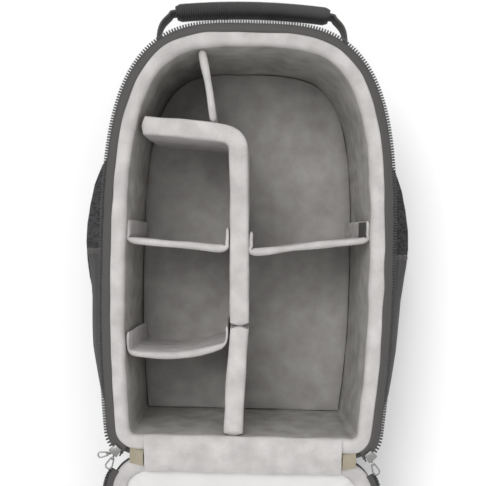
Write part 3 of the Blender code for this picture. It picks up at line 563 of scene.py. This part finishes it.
class BACKPACK_OT_shell(bpy.types.Operator):
    """Make the outer cloth of the walls, with piped seams, and the back panel."""

    bl_idname = "backpack.shell"
    bl_label = "Outer shell"

    def execute(self, context):
        k = kit()
        loop = k.body_loop
        levels = np.linspace(17 * MM, 146 * MM, 26)
        swell = 1.4 * MM * np.sin(np.linspace(0, math.pi, 26)) ** 0.7
        outer = [(s, z) for s, z in zip(swell, levels)]
        inner = [(-1.8 * MM, z) for z in levels[::-5]]
        bm = bmesh.new()
        skin(bm, loop.rings(outer + inner), closed_path=True)
        wrinkle(bm, 1.0 * MM, (16, 16, 26), 1.0, lambda p: min(1.0, (p.z - 17 * MM) / (20 * MM)))
        k.piece("shell_cloth", bm, "black_nylon", "bag", ("shell_right", "shell_top", "shell_left", "shell_base"))

        bm = bmesh.new()
        for z in (18.5 * MM, 144 * MM):
            skin(bm, loop.rings(arc((1.2 * MM, z), 1.5 * MM, 0, 315, 7)), closed_path=True)
        k.piece("shell_piping", bm, "black_webbing", "bag")

        bm = bmesh.new()
        rings = []
        for share, low in ((0.001, 0), (0.5, 0), (0.9, 0), (0.99, 0.2), (1.0, 0.9), (0.99, 2.0), (0.5, 2.0), (0.001, 2.0)):
            flat = loop.points * share
            rings.append(np.column_stack([flat, np.full(len(flat), (14.5 + low) * MM)]))
        skin(bm, rings)
        k.piece("back_cloth", bm, "black_nylon", "bag", ("back_panel",))
        return {"FINISHED"}


# ---------------------------------------------------------------- zip


def teeth(bm, loop, indices, settings, z, place=None):
    """Separate rounded teeth along a run of the outline."""
    start, end = loop.at[indices[0]], loop.at[indices[-1] % len(loop.at)]
    if end < start:
        end += loop.length
    count = int((end - start) / settings.pitch)
    half_wide, half_long = settings.width / 2, settings.tooth / 2
    section = ((-1, -0.6), (-1, 0.6), (-0.55, 1), (0.55, 1), (1, 0.6), (1, -0.6), (0.55, -1), (-0.55, -1))
    for i in range(count):
        at = (start + (i + 0.5) * (end - start) / count) % loop.length
        j = int(at / loop.length * len(loop.at)) % len(loop.at)
        part = at / loop.length * len(loop.at) - j
        n = (j + 1) % len(loop.at)
        middle = loop.points[j] * (1 - part) + loop.points[n] * part
        normal = loop.normals[j] * (1 - part) + loop.normals[n] * part
        ahead = np.array((-normal[1], normal[0]))
        middle = middle + normal * (ZIP_REACH - half_wide)
        rings = []
        for shift, size in ((-1, 0.72), (-0.55, 1), (0.55, 1), (1, 0.72)):
            centre = middle + ahead * (shift * half_long)
            ring = [(*(centre + normal * (a * half_wide * size)), z + b * 1.45 * MM * size) for a, b in section]
            rings.append(ring)
        rings = np.array(rings)
        skin(bm, rings if place is None else place(rings))


class BACKPACK_OT_zip(bpy.types.Operator):
    """Make the tapes and teeth of the main zip, on the body and on the lid."""

    bl_idname = "backpack.zip"
    bl_label = "Zip"

    def execute(self, context):
        k = kit()
        settings = context.scene.backpack_zip
        loop = k.body_loop
        run = loop.from_corner(BASE_CORNER, BODY_ZIP_FROM)
        run = run[run < len(loop.points)]
        section = [(-3.2, 147.0), (-3.0, 148.4), (-1.6, 148.9), (0.4, 148.3), (2.4, 147.7), (5.2, 147.6)]
        section += [(5.2, 146.6), (2.4, 146.5), (-0.8, 146.5)]
        rings = loop.rings(np.array(section) * MM, run)
        for i, at in enumerate(loop.at[run]):
            rings[i, :, 2] += 0.35 * MM * noise.noise(Vector((at * 60, 0, 0)))
        bm = bmesh.new()
        skin(bm, rings)
        k.piece("zip_tape", bm, "black_webbing", "bag", ("zip_tape_body",))
        bm = bmesh.new()
        teeth(bm, loop, run, settings, 147.05 * MM)
        k.piece("zip_teeth", bm, "zip_coil", "bag", ("zip_chain_body",))

        loop = k.lid_loop
        run = loop.from_corner(LID_CORNER, LID_ZIP_FROM)
        run = run[run < len(loop.points)]
        level = RIM_Z + 3.25 * MM
        section = [(-1.5, -0.5), (-1.5, 0.6), (2.4, 0.5), (5.2, 0.5), (5.2, -0.5), (2.4, -0.5)]
        section = [(a * MM, level + b * MM) for a, b in section]
        bm = bmesh.new()
        skin(bm, opened(loop.rings(section, run)))
        k.piece("lid_zip_tape", bm, "black_webbing", "lid", ("zip_tape_lid",))
        bm = bmesh.new()
        teeth(bm, loop, run, settings, level, opened)
        k.piece("lid_zip_teeth", bm, "zip_coil", "lid", ("zip_chain_lid",))
        return {"FINISHED"}


# ---------------------------------------------------------------- lid


def lid_half_width(v, inset):
    """Half width of the lid at v, a distance inside its edge."""
    centre, centre_v, angle = corner_of(LID_CORNER)
    radius = LID_CORNER - inset
    if v < centre_v - radius * math.sin(angle):
        return centre + math.sqrt(max(0.0, radius**2 - (centre_v - v) ** 2))
    return side_x(v) - inset


class BACKPACK_OT_lid(bpy.types.Operator):
    """Make the lid: its outer cloth, padded border, lining and inner pocket."""

    bl_idname = "backpack.lid"
    bl_label = "Lid"

    def execute(self, context):
        k = kit()
        cloth = context.scene.backpack_cloth
        loop = k.lid_loop
        centre = np.array((-7.6 * MM, RIM_Z + 5.4 * MM))
        section = []
        for i in range(20):
            turn = 2 * math.pi * i / 20
            c, s = math.cos(turn), math.sin(turn)
            across = math.copysign(abs(c) ** 0.8, c) * 7.5 * MM
            section.append((centre[0] + across, centre[1] + math.copysign(abs(s) ** 0.8, s) * 4.3 * MM))
        bm = bmesh.new()
        skin(bm, opened(loop.rings(section)), closed_path=True)
        wrinkle(bm, 1.1 * MM, (70, 40, 40), 4.0)
        k.piece("lid_edge_roll", bm, "grey_lining", "lid", ("lid_border",), pad=0.7)

        bm = bmesh.new()
        rings = []
        faces = ((0.001, 13.1), (0.4, 13.1), (0.8, 13.1), (0.97, 13.0), (0.995, 12.4), (1.0, 11.5), (0.99, 10.3))
        for share, level in (*faces, (0.6, 10.2), (0.001, 10.2)):
            flat = np.array((0, -2 * MM)) + (loop.points - (0, -2 * MM)) * share
            rings.append(np.column_stack([flat, np.full(len(flat), RIM_Z + level * MM)]))
        skin(bm, opened(rings))
        k.piece("lid_cloth", bm, "black_nylon", "lid", ("lid_panel",))

        bm = bmesh.new()
        edge = loop.points - loop.normals * 13.5 * MM
        rings = []
        for share, level in ((0.001, 8.4), (0.4, 8.2), (0.8, 8.5), (0.97, 8.8), (1.0, 9.6)):
            flat = edge * share
            rings.append(np.column_stack([flat, np.full(len(flat), RIM_Z + level * MM)]))
        low = [np.column_stack([edge * share, np.full(len(edge), RIM_Z + 10.0 * MM)]) for share in (1.0, 0.001)]
        skin(bm, opened([*rings, *low]))
        k.piece("lid_lining", bm, "pocket_cloth", "lid")

        self.inner_pocket(k, cloth)
        return {"FINISHED"}

    def inner_pocket(self, k, cloth):
        """The flat pocket inside the border, gathered at its lower corners and along its mouth."""
        inset, mouth = 13 * MM, 300 * MM
        levels = np.concatenate([inset + np.linspace(0.02, 1, 14) ** 1.6 * 26 * MM, np.linspace(45 * MM, mouth, 64)])
        columns = np.linspace(-1, 1, 91)
        rings = []
        for v in levels:
            half = lid_half_width(v, inset)
            row = []
            for u in columns:
                x = u * half
                inside = min(half - abs(x), v - inset)
                rise = 5.2 * MM * (1 - math.exp(-max(0.0, inside) / (9 * MM)))
                low_corner = math.exp(-(v - inset) / (34 * MM)) * abs(u) ** 3
                ray = math.atan2(v - inset, half * 1.1 - abs(x))
                fold = math.sin(ray * 21) * 1.6 * MM * low_corner
                hem = math.exp(-(mouth - v) / (14 * MM))
                fold += math.sin(2 * math.pi * x / cloth.gather_pitch) * cloth.gather * 0.8 * hem
                fold += 1.2 * MM * noise.noise(Vector((x * 22, v * 13, 3)))
                row.append((x, v - ORIGIN_V, RIM_Z + 7.2 * MM - rise + fold * min(1.0, inside / (4 * MM))))
            rings.append(row)
        bm = bmesh.new()
        thicken(bm, opened(rings), -0.9 * MM)
        pocket = k.piece("lid_inner_pocket", bm, "pocket_cloth", "lid", ("lid_pocket",))
        hem_rows = []
        half = lid_half_width(mouth, inset)
        for i in range(121):
            x = (-1 + 2 * i / 120) * half
            ripple = math.sin(2 * math.pi * x / cloth.gather_pitch) * cloth.gather * 0.8
            ring = []
            for j in range(8):
                turn = 2 * math.pi * j / 8
                y = mouth - ORIGIN_V + 3 * MM + 3.4 * MM * math.cos(turn)
                ring.append((x, y, RIM_Z + 2.6 * MM + ripple + 1.1 * MM * math.sin(turn)))
            hem_rows.append(ring)
        bm = bmesh.new()
        skin(bm, opened(hem_rows))
        hem = k.piece("lid_inner_pocket_hem", bm, "black_webbing", "lid", ("lid_pocket_hem",))


def hinge_section(x):
    """Points (y, z) across the hinge at x, from the base wall's top to the lid's border."""
    sag = 1.1 * MM * noise.noise(Vector((x * 55, 0, 7))) + 0.5 * MM * math.sin(x / (3.1 * MM))
    route = ((-188.5, 148.0), (-190.5, 150.3), (-194.5, 151.6), (-199, 151.9), (-203.5, 151.2), (-207, 149.8))
    route += ((-210.5, 148.9), (-214, 148.3), (-217.5, 146.8), (-220.5, 144.2))
    return [(x, y * MM, z * MM + sag) for y, z in route]


class BACKPACK_OT_hinge(bpy.types.Operator):
    """Make the cloth that joins the lid to the base wall, and the gusset at each corner."""

    bl_idname = "backpack.hinge"
    bl_label = "Cloth hinge"

    def execute(self, context):
        k = kit()
        start, end = HINGE + Vector((0, 3 * MM, 0)), HINGE + Vector((0, -6 * MM, 0))
        rings = [hinge_section(x) for x in np.linspace(-92 * MM, 92 * MM, 140)]
        bm = bmesh.new()
        thicken(bm, rings, 1.6 * MM)
        wrinkle(bm, 0.8 * MM, (60, 60, 60), 6.0)
        roll = k.piece("hinge_cloth", bm, "grey_lining", ("bag", "lid", start, end), ("hinge_strip",))
        for side, sign in (("left", -1), ("right", 1)):
            rings = []
            for i in range(13):
                t = i / 12
                x = sign * (93 + 13 * t) * MM
                dip = 2.0 * MM * math.sin(math.pi * t)
                route = ((-200, 143), (-203, 147.2), (-206, 149.2 - dip / MM), (-209.5, 149.2 - dip / MM))
                route += ((-213, 148.0 - dip / MM), (-216, 146.2))
                rings.append([(x, (y + 3.0 * t * t) * MM, z * MM) for y, z in route])
            bm = bmesh.new()
            thicken(bm, rings if sign > 0 else rings[::-1], 1.0 * MM)
            name = "corner_gusset_" + side
            gusset = k.piece(name, bm, "khaki_webbing", ("bag", "lid", start, end))
            bm = k.rounded("corner_tie_" + side, 0.3 * MM)
            k.piece("corner_tape_" + side, bm, "khaki_webbing", "bag", ("corner_tie_" + side,))
        return {"FINISHED"}


# ---------------------------------------------------------------- dividers


def smooth_path(points, step=2.5 * MM):
    """Even points along a smooth curve through the given ones."""
    points = [Vector(p) for p in points]
    ends = [points[0] * 2 - points[1], *points, points[-1] * 2 - points[-2]]
    dense = []
    for i in range(1, len(ends) - 2):
        a, b, c, d = ends[i - 1 : i + 3]
        for s in range(16):
            t = s / 16
            dense.append(
                0.5 * (2 * b + (c - a) * t + (2 * a - 5 * b + 4 * c - d) * t**2 + (3 * b - a - 3 * c + d) * t**3)
            )
    dense = np.array([*dense, points[-1]])
    along = np.concatenate([[0], np.cumsum(np.linalg.norm(np.diff(dense, axis=0), axis=1))])
    count = max(6, round(along[-1] / step))
    at = np.linspace(0, along[-1], count + 1)
    return np.stack([np.interp(at, along, dense[:, i]) for i in range(dense.shape[1])], axis=1), at


def slab(path, draft, thick, low, top, sag=0.0):
    """Rings of a padded board that stands on a path. draft moves its foot, thick is its thickness at each point."""
    points, at = smooth_path(path)
    ahead = np.gradient(points, axis=0)
    ahead /= np.linalg.norm(ahead, axis=1)[:, None]
    normals = np.stack([-ahead[:, 1], ahead[:, 0]], axis=1)
    rings = []
    for i, point in enumerate(points):
        share = at[i] / at[-1]
        half = thick(share) / 2
        near = min(at[i], at[-1] - at[i])
        soft = min(half, 2.4 * MM)
        round_off = math.sqrt(max(0.0, 1 - (1 - min(1.0, near / soft)) ** 2)) if near < soft else 1.0
        half_here = half * (0.35 + 0.65 * round_off)
        crest = top - sag * math.sin(math.pi * share) ** 2 - (1 - round_off) * 2 * MM
        edge = min(half_here, 3.4 * MM)
        column = [(-half_here, z) for z in np.linspace(low, crest - edge, 16)]
        column += [(-half_here + edge - edge * math.cos(t), crest - edge + edge * math.sin(t)) for t in (0.5, 1.0, 1.45)]
        column += [(-t, z) for t, z in reversed(column)]
        ring = []
        for t, z in column:
            foot = (top - z) / (top - low)
            move = np.array(draft(share)) * foot
            ring.append((*(point + normals[i] * t + move), z))
        rings.append(ring)
    return rings


class BACKPACK_OT_dividers(bpy.types.Operator):
    """Make the padded dividers, with the flaps that hold them to the walls."""

    bl_idname = "backpack.dividers"
    bl_label = "Dividers"

    def execute(self, context):
        k = kit()
        thin, thick, flap = 6.6, 18.0, 3.2
        low = FLOOR_TOP + 0.3 * MM

        def left_x(y):
            v = y * MM + ORIGIN_V
            return -(min(side_x(v), side_x(v + 20 * MM)) / MM) + 15.3 + 0.8

        def spine_x(y):
            return -8.3 - 0.028 * y

        in_left, in_right, still = (5.5 * MM, 0), (-5.5 * MM, 0), (0, 0)

        def draft_between(start, end):
            return lambda share: tuple(a * (1 - share) + b * share for a, b in zip(start, end))

        def flapped(run):
            """Thin at both ends, where the flaps turn up, and full in between."""
            return lambda share: (flap + (thin - flap) * min(1.0, max(0.0, (min(share, 1 - share) * run - 17) / 5))) * MM

        crown = crown_y(51 * MM) / MM - 16.2
        x_mid, x_low = left_x(-5), left_x(-112)
        right = -left_x(0)
        upper = [(-35, 108.7), (-41, 145), (-48, crown)]
        ell = [(left_x(104), 103.7), (-60, 101.2), (-30, 98.8), (-18.5, 95.6), (-12.3, 88.5), (-10.7, 77)]
        ell += [(spine_x(y), y) for y in (40, -20, -83.5)]
        centre = [(spine_x(-84), -84.2), (-8, -130), (-9.5, -203.5 + 16.1)]
        end_x = spine_x(8) - 9.4
        mid = [(x_mid + 1.6, 14.5), (x_mid + 1.6, 2), (x_mid + 5.5, -5.1), (-60, -8.6), (end_x - 5.5, -10.9)]
        mid += [(end_x - 1.6, -4), (end_x - 1.6, 9)]
        low_x = -6.9 - 9.4
        lower = [(x_low + 1.6, -92), (x_low + 1.6, -104.5), (x_low + 5.5, -111.6), (-88, -113.7), (-64, -113.5)]
        lower += [(-40, -109.2), (low_x - 5.5, -103), (low_x - 1.6, -96), (low_x - 1.6, -84)]
        start_x = spine_x(-14) + 9.5
        cross = [(start_x + 1.6, 5.5), (start_x + 1.6, -7), (start_x + 5.5, -13.8), (60, -6.6), (right - 5.5, -0.5)]
        cross += [(right - 1.6, 6), (right - 1.6, 18.5)]
        both = lambda share: (in_left[0] if share < 0.5 else 0, 0)
        made = (
            ("upper_left", upper, draft_between(still, (0, -5.5 * MM)), lambda s: thin * MM, 140, 0.5, 1.0),
            ("long_ell", ell, draft_between(in_left, still), lambda s: thick * MM, 143, 0.8, 2.0),
            ("lower_centre", centre, draft_between(still, (0, 5.5 * MM)), lambda s: thick * MM, 143, 0.5, 3.0),
            ("left_middle", mid, draft_between(in_left, still), flapped(120), 140, 0.6, 4.0),
            ("left_lower", lower, draft_between(in_left, still), flapped(128), 140, 1.6, 5.0),
            ("right_middle", cross, draft_between(still, in_right), flapped(152), 140, 0.8, 6.0),
        )
        for name, path, draft, width, top, sag, seed in made:
            rings = slab([(x * MM, y * MM) for x, y in path], draft, width, low, top * MM, sag * MM)
            bm = bmesh.new()
            skin(bm, rings)
            body = "divider_" + name
            steady = low + 4 * MM
            wrinkle(bm, 1.1 * MM, (34, 34, 22), seed, lambda p, steady=steady: 1.0 if p.z > steady else 0.0)
            k.piece("padded_" + body, bm, "grey_lining", body, (body,), pad=0.8)
        self.hook_patch(k, right)
        return {"FINISHED"}

    def hook_patch(self, k, right):
        """The dark hook patch on the flap that meets the right wall."""
        bm = bmesh.new()
        x = right * MM - 3.5 * MM
        rings = []
        for y in np.linspace(2.5 * MM, 17 * MM, 6):
            rings.append([(x - 5.5 * MM * (140 * MM - z) / (112 * MM), y, z) for z in np.linspace(104 * MM, 139 * MM, 12)])
        thicken(bm, rings, 0.7 * MM)
        patch = k.piece("hook_patch", bm, "black_webbing", "divider_right_middle")


# ---------------------------------------------------------------- outer pockets


def bowed(half, depth, bow, count=48):
    """Section of a pocket as (along, out) pairs, bowed out to its depth and flat at its ends."""
    pairs = []
    for i in range(count + 1):
        share = -1 + 2 * i / count
        pairs.append((share * half, max(0.12, (1 - abs(share) ** bow) ** (1 / bow)) * depth))
    return pairs


def pocket_cloth(bm, stations, place, bow, cloth, thick=1.4 * MM):
    """A pocket's face: bowed cloth that is gathered towards its mouth."""
    stations = np.array(stations)
    at = np.linspace(0, 1, 60)
    known = np.linspace(0, 1, len(stations)) if stations.shape[1] == 3 else stations[:, 3]
    rows = []
    for t in at:
        v, half, depth = (np.interp(t, known, stations[:, i]) for i in range(3))
        gather = cloth.gather * math.exp(-(1 - t) * 5)
        row = []
        for along, out in bowed(half, depth, bow):
            ripple = math.sin(2 * math.pi * along / cloth.gather_pitch) * gather
            ripple += 1.4 * MM * noise.noise(Vector((along * 25, v * 14, depth * 90)))
            row.append(place(v, along, max(0.4 * MM, out + ripple * min(1.0, out / (8 * MM)))))
        rows.append(row)
    thicken(bm, rows, thick)


def pocket_hem(bm, v, half, depth, place, bow, cloth, width=6 * MM):
    """The elastic hem of a pocket's mouth."""
    rings = []
    for along, out in bowed(half, depth, bow, 96):
        ripple = math.sin(2 * math.pi * along / cloth.gather_pitch) * cloth.gather
        ring = []
        for j in range(8):
            turn = 2 * math.pi * j / 8
            ring.append(place(v + width * 0.5 * (1 + math.cos(turn)), along, out + ripple + 1.3 * MM * math.sin(turn)))
        rings.append(ring)
    skin(bm, rings)


class BACKPACK_OT_pockets(bpy.types.Operator):
    """Make the stretch pocket on each side and the pocket on the lid's outer face."""

    bl_idname = "backpack.pockets"
    bl_label = "Outer pockets"

    def execute(self, context):
        k = kit()
        cloth = context.scene.backpack_cloth
        low, high, middle = 20 * MM, 184 * MM, 72 * MM
        shape = ((0, 0.30), (0.06, 0.48), (0.2, 0.66), (0.45, 0.8), (0.75, 0.84), (0.9, 0.93), (1, 1))
        stations = [(low + (high - low) * t, 46 * MM, 27 * MM * d, t) for t, d in shape]
        for side, sign in (("left", -1), ("right", 1)):

            def on_side(v, along, out, sign=sign):
                return (sign * (side_x(v) + 0.3 * MM + out), v - ORIGIN_V, middle + along * sign)

            bm = bmesh.new()
            pocket_cloth(bm, stations, on_side, 3, cloth)
            nodes = ("side_pocket_" + side,)
            pocket = k.piece("bottle_pocket_" + side, bm, "black_nylon", "bag", nodes)
            bm = bmesh.new()
            pocket_hem(bm, high, 46 * MM, 26.5 * MM, on_side, 3, cloth)
            hem = k.piece("bottle_pocket_hem_" + side, bm, "black_webbing", "bag", ("side_pocket_hem_" + side,))
        low, high = 34 * MM, 290 * MM
        shape = ((0, 0.9, 0.34), (0.05, 0.95, 0.5), (0.15, 1, 0.75), (0.4, 1, 1), (0.75, 1, 1), (1, 0.98, 0.85))
        stations = [(low + (high - low) * t, 104 * MM * w, 20.5 * MM * d, t) for t, w, d in shape]

        def on_lid(v, along, out):
            return tuple(opened((along, v - ORIGIN_V, RIM_Z + 13.3 * MM + out)))

        bm = bmesh.new()
        pocket_cloth(bm, stations, on_lid, 4, cloth)
        pocket = k.piece("front_cloth_pocket", bm, "black_nylon", "lid", ("front_pocket",))
        bm = bmesh.new()
        pocket_hem(bm, high, 102 * MM, 17.2 * MM, on_lid, 4, cloth)
        hem = k.piece("front_cloth_pocket_hem", bm, "black_webbing", "lid", ("front_pocket_hem",))
        return {"FINISHED"}


# ---------------------------------------------------------------- handle


def handle_path():
    """The webbing's centreline, from the right pivot to the left one."""
    spread, axis, rise = 97, 190, 47
    right = [(spread, axis - 6), (spread, axis + 0.35 * rise), (spread - 3, axis + 0.62 * rise)]
    right += [(spread - 11, axis + 0.82 * rise), (80, axis + 0.9 * rise), (40, axis + 0.975 * rise)]
    points = [*right, (0, axis + rise), *[(-x, y) for x, y in reversed(right)]]
    return smooth_path([(x * MM, y * MM) for x, y in points], 1.2 * MM)


class BACKPACK_OT_handle(bpy.types.Operator):
    """Make the grab handle: its webbing and the pleated sleeve round it."""

    bl_idname = "backpack.handle"
    bl_label = "Grab handle"

    def execute(self, context):
        k = kit()
        cloth = context.scene.backpack_cloth
        points, at = handle_path()
        ahead = np.gradient(points, axis=0)
        ahead /= np.linalg.norm(ahead, axis=1)[:, None]
        normals = np.stack([-ahead[:, 1], ahead[:, 0]], axis=1)
        web, sleeve = [], []
        for i, point in enumerate(points):
            web.append([(*(point + normals[i] * t), HANDLE_Z + z) for t, z in self.section(1.5 * MM, 12.5 * MM, 1.2 * MM)])
            over = 80 * MM - abs(point[0])
            if over < 0:
                continue
            pleat = 1 + 0.10 * math.sin(2 * math.pi * at[i] / cloth.pleat_pitch)
            tuck = min(1.0, 0.62 + over / (14 * MM))
            thick, wide = 7.4 * MM * pleat * tuck, 14.6 * MM * (0.5 + 0.5 * pleat) * (0.9 + 0.1 * tuck)
            sleeve.append([(*(point + normals[i] * t), HANDLE_Z + z) for t, z in self.section(thick, wide, thick * 0.85)])
        bm = bmesh.new()
        skin(bm, web)
        k.piece("handle_strap", bm, "black_webbing", "handle", ("handle_webbing",))
        bm = bmesh.new()
        skin(bm, sleeve)
        k.piece("handle_sleeve", bm, "black_nylon", "handle", ("handle_grip",), pad=0.7)
        for side in ("left", "right"):
            bm = k.rounded("handle_anchor_" + side, 0.5 * MM, 2)
            k.piece("handle_patch_" + side, bm, "black_webbing", "bag", ("handle_anchor_" + side,))
        return {"FINISHED"}

    def section(self, thick, wide, radius):
        """Corners of a rounded rectangle across the path."""
        pairs = []
        for cx, cz, start in ((1, 1, 0), (-1, 1, 90), (-1, -1, 180), (1, -1, 270)):
            for step in range(4):
                turn = math.radians(start + 30 * step)
                x = cx * (thick - radius) + radius * math.cos(turn)
                pairs.append((x, cz * (wide - radius) + radius * math.sin(turn)))
        return pairs


# ---------------------------------------------------------------- harness and hardware


class BACKPACK_OT_harness(bpy.types.Operator):
    """Make the back pad, shoulder straps and their buckles and webbing."""

    bl_idname = "backpack.harness"
    bl_label = "Harness"

    def execute(self, context):
        k = kit()
        ripple = (0.9 * MM, (30, 30, 40), 2.0, lambda p: 1.0 if p.z > 2 * MM else 0.0)
        bm = k.rounded("back_pad", 4 * MM, 3, 12 * MM, ripple)
        k.piece("back_padding", bm, "air_mesh", "bag", ("back_pad",), pad=0.8)
        bm = k.rounded("harness_yoke", 2 * MM, 3)
        k.piece("yoke_cloth", bm, "black_nylon", "bag", ("harness_yoke",))
        for side in ("left", "right"):
            bm = k.rounded("shoulder_strap_" + side, 4 * MM, 3, 12 * MM, ripple)
            k.piece("strap_padding_" + side, bm, "air_mesh", "bag", ("shoulder_strap_" + side,), pad=0.8)
            small = (
                ("ladder_lock_", "lock_", "black_plastic", 1.0 * MM),
                ("strap_webbing_", "strap_tape_", "black_webbing", 0.5 * MM),
                ("strap_wing_", "strap_gusset_", "black_nylon", 1.0 * MM),
            )
            for node, name, slot, radius in small:
                bm = k.rounded(node + side, radius, 2)
                k.piece(name + side, bm, slot, "bag", (node + side,))
        return {"FINISHED"}


class BACKPACK_OT_hardware(bpy.types.Operator):
    """Make the zip sliders and pulls, the base cover and its feet."""

    bl_idname = "backpack.hardware"
    bl_label = "Sliders, base cover and feet"

    def execute(self, context):
        k = kit()
        pieces = [
            ("base_boot", "base_cover", "black_rubber", "bag", 1.0),
            ("foot_left", "base_foot_left", "black_rubber", "bag", 1.4),
            ("foot_right", "base_foot_right", "black_rubber", "bag", 1.4),
            ("slider_left", "zip_slider_left", "gunmetal", "slider_left", 0.35),
            ("slider_right", "zip_slider_right", "gunmetal", "slider_right", 0.35),
            ("eye_ring_left", "slider_eye_left", "gunmetal", "slider_left", 0.15),
            ("eye_tag_left", "slider_second_eye_left", "gunmetal", "slider_left", 0.15),
            ("eye_ring_right", "slider_eye_right", "gunmetal", "slider_right", 0.15),
            ("pull_ring_left", "ring_pull_left", "gunmetal", "ring_left", 0.0),
            ("pull_tag_left", "tag_pull_left", "gunmetal", "tag_left", 0.0),
            ("pull_ring_right", "ring_pull_right", "gunmetal", "ring_right", 0.0),
        ]
        for node, name, slot, body, radius in pieces:
            bm = k.rounded(node, radius * MM, 2)
            k.piece(name, bm, slot, body, (node,))
        sheet = k.frame["nodes"]["frame_sheet"]
        sheet.data.materials.clear()
        sheet.data.materials.append(k.materials["frame_board"])
        return {"FINISHED"}


# ---------------------------------------------------------------- stage


class BACKPACK_OT_stage(bpy.types.Operator):
    """Make the pale floor, the soft light and the camera above the bag."""

    bl_idname = "backpack.stage"
    bl_label = "Stage"

    def execute(self, context):
        scene = context.scene
        scene.view_settings.view_transform = "Standard"
        bm = bmesh.new()
        bmesh.ops.create_grid(bm, x_segments=1, y_segments=1, size=4.0)
        bmesh.ops.translate(bm, vec=(0, 0, -0.5 * MM), verts=bm.verts)
        mesh = bpy.data.meshes.new("floor")
        bm.to_mesh(mesh)
        bm.free()
        graph = Graph("floor")
        mesh.materials.append(graph.finish((0.97, 0.97, 0.97, 1), 0.9))
        floor = bpy.data.objects.new("floor", mesh)
        scene.collection.objects.link(floor)
        world = bpy.data.worlds.new("sky")
        world.use_nodes = True
        world.node_tree.nodes["Background"].inputs["Color"].default_value = (1, 1, 1, 1)
        world.node_tree.nodes["Background"].inputs["Strength"].default_value = 0.92
        scene.world = world
        key = bpy.data.lights.new("key", "SUN")
        key.energy, key.angle = 1.25, math.radians(35)
        key_lamp = bpy.data.objects.new("key", key)
        key_lamp.location = (-0.6, 0.8, 1.9)
        key_lamp.rotation_euler = (Vector((0, 0, 0.1)) - key_lamp.location).to_track_quat("-Z", "Y").to_euler()
        scene.collection.objects.link(key_lamp)
        camera_data = bpy.data.cameras.new("camera")
        camera_data.lens, camera_data.sensor_width = 67.4, 36
        camera_data.clip_start = 0.01
        camera = bpy.data.objects.new("camera", camera_data)
        camera.location = (-4.5 * MM, -5.4 * MM, 1.0)
        camera.rotation_euler = (0, 0, math.radians(1.33))
        scene.collection.objects.link(camera)
        scene.camera = camera
        return {"FINISHED"}


# ---------------------------------------------------------------- add-on


OPERATORS = (
    BACKPACK_OT_lining,
    BACKPACK_OT_shell,
    BACKPACK_OT_zip,
    BACKPACK_OT_lid,
    BACKPACK_OT_hinge,
    BACKPACK_OT_dividers,
    BACKPACK_OT_pockets,
    BACKPACK_OT_handle,
    BACKPACK_OT_harness,
    BACKPACK_OT_hardware,
    BACKPACK_OT_stage,
)
SETTINGS = {
    "backpack_padding": BackpackPaddingSettings,
    "backpack_zip": BackpackZipSettings,
    "backpack_cloth": BackpackClothSettings,
}


class BACKPACK_PT_panel(bpy.types.Panel):
    """The sidebar panel that lists every operator."""

    bl_idname = "BACKPACK_PT_panel"
    bl_label = "Camera backpack"
    bl_space_type = "VIEW_3D"
    bl_region_type = "UI"
    bl_category = CATEGORY

    def draw(self, context):
        for name in SETTINGS:
            group = getattr(context.scene, name)
            for prop in group.bl_rna.properties:
                if prop.identifier not in ("rna_type", "name"):
                    self.layout.prop(group, prop.identifier)
        for operator in OPERATORS:
            self.layout.operator(operator.bl_idname)


def register():
    for made in (*SETTINGS.values(), *OPERATORS, BACKPACK_PT_panel):
        bpy.utils.register_class(made)
    for name, group in SETTINGS.items():
        setattr(bpy.types.Scene, name, bpy.props.PointerProperty(type=group))


def unregister():
    for name in SETTINGS:
        delattr(bpy.types.Scene, name)
    for made in reversed((*SETTINGS.values(), *OPERATORS, BACKPACK_PT_panel)):
        bpy.utils.unregister_class(made)


def main():
    for old in list(bpy.data.objects):
        bpy.data.objects.remove(old)
    register()
    kit()
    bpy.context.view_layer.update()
    for operator in OPERATORS:
        category, name = operator.bl_idname.split(".")
        getattr(getattr(bpy.ops, category), name)()


if __name__ == "__main__":
    main()
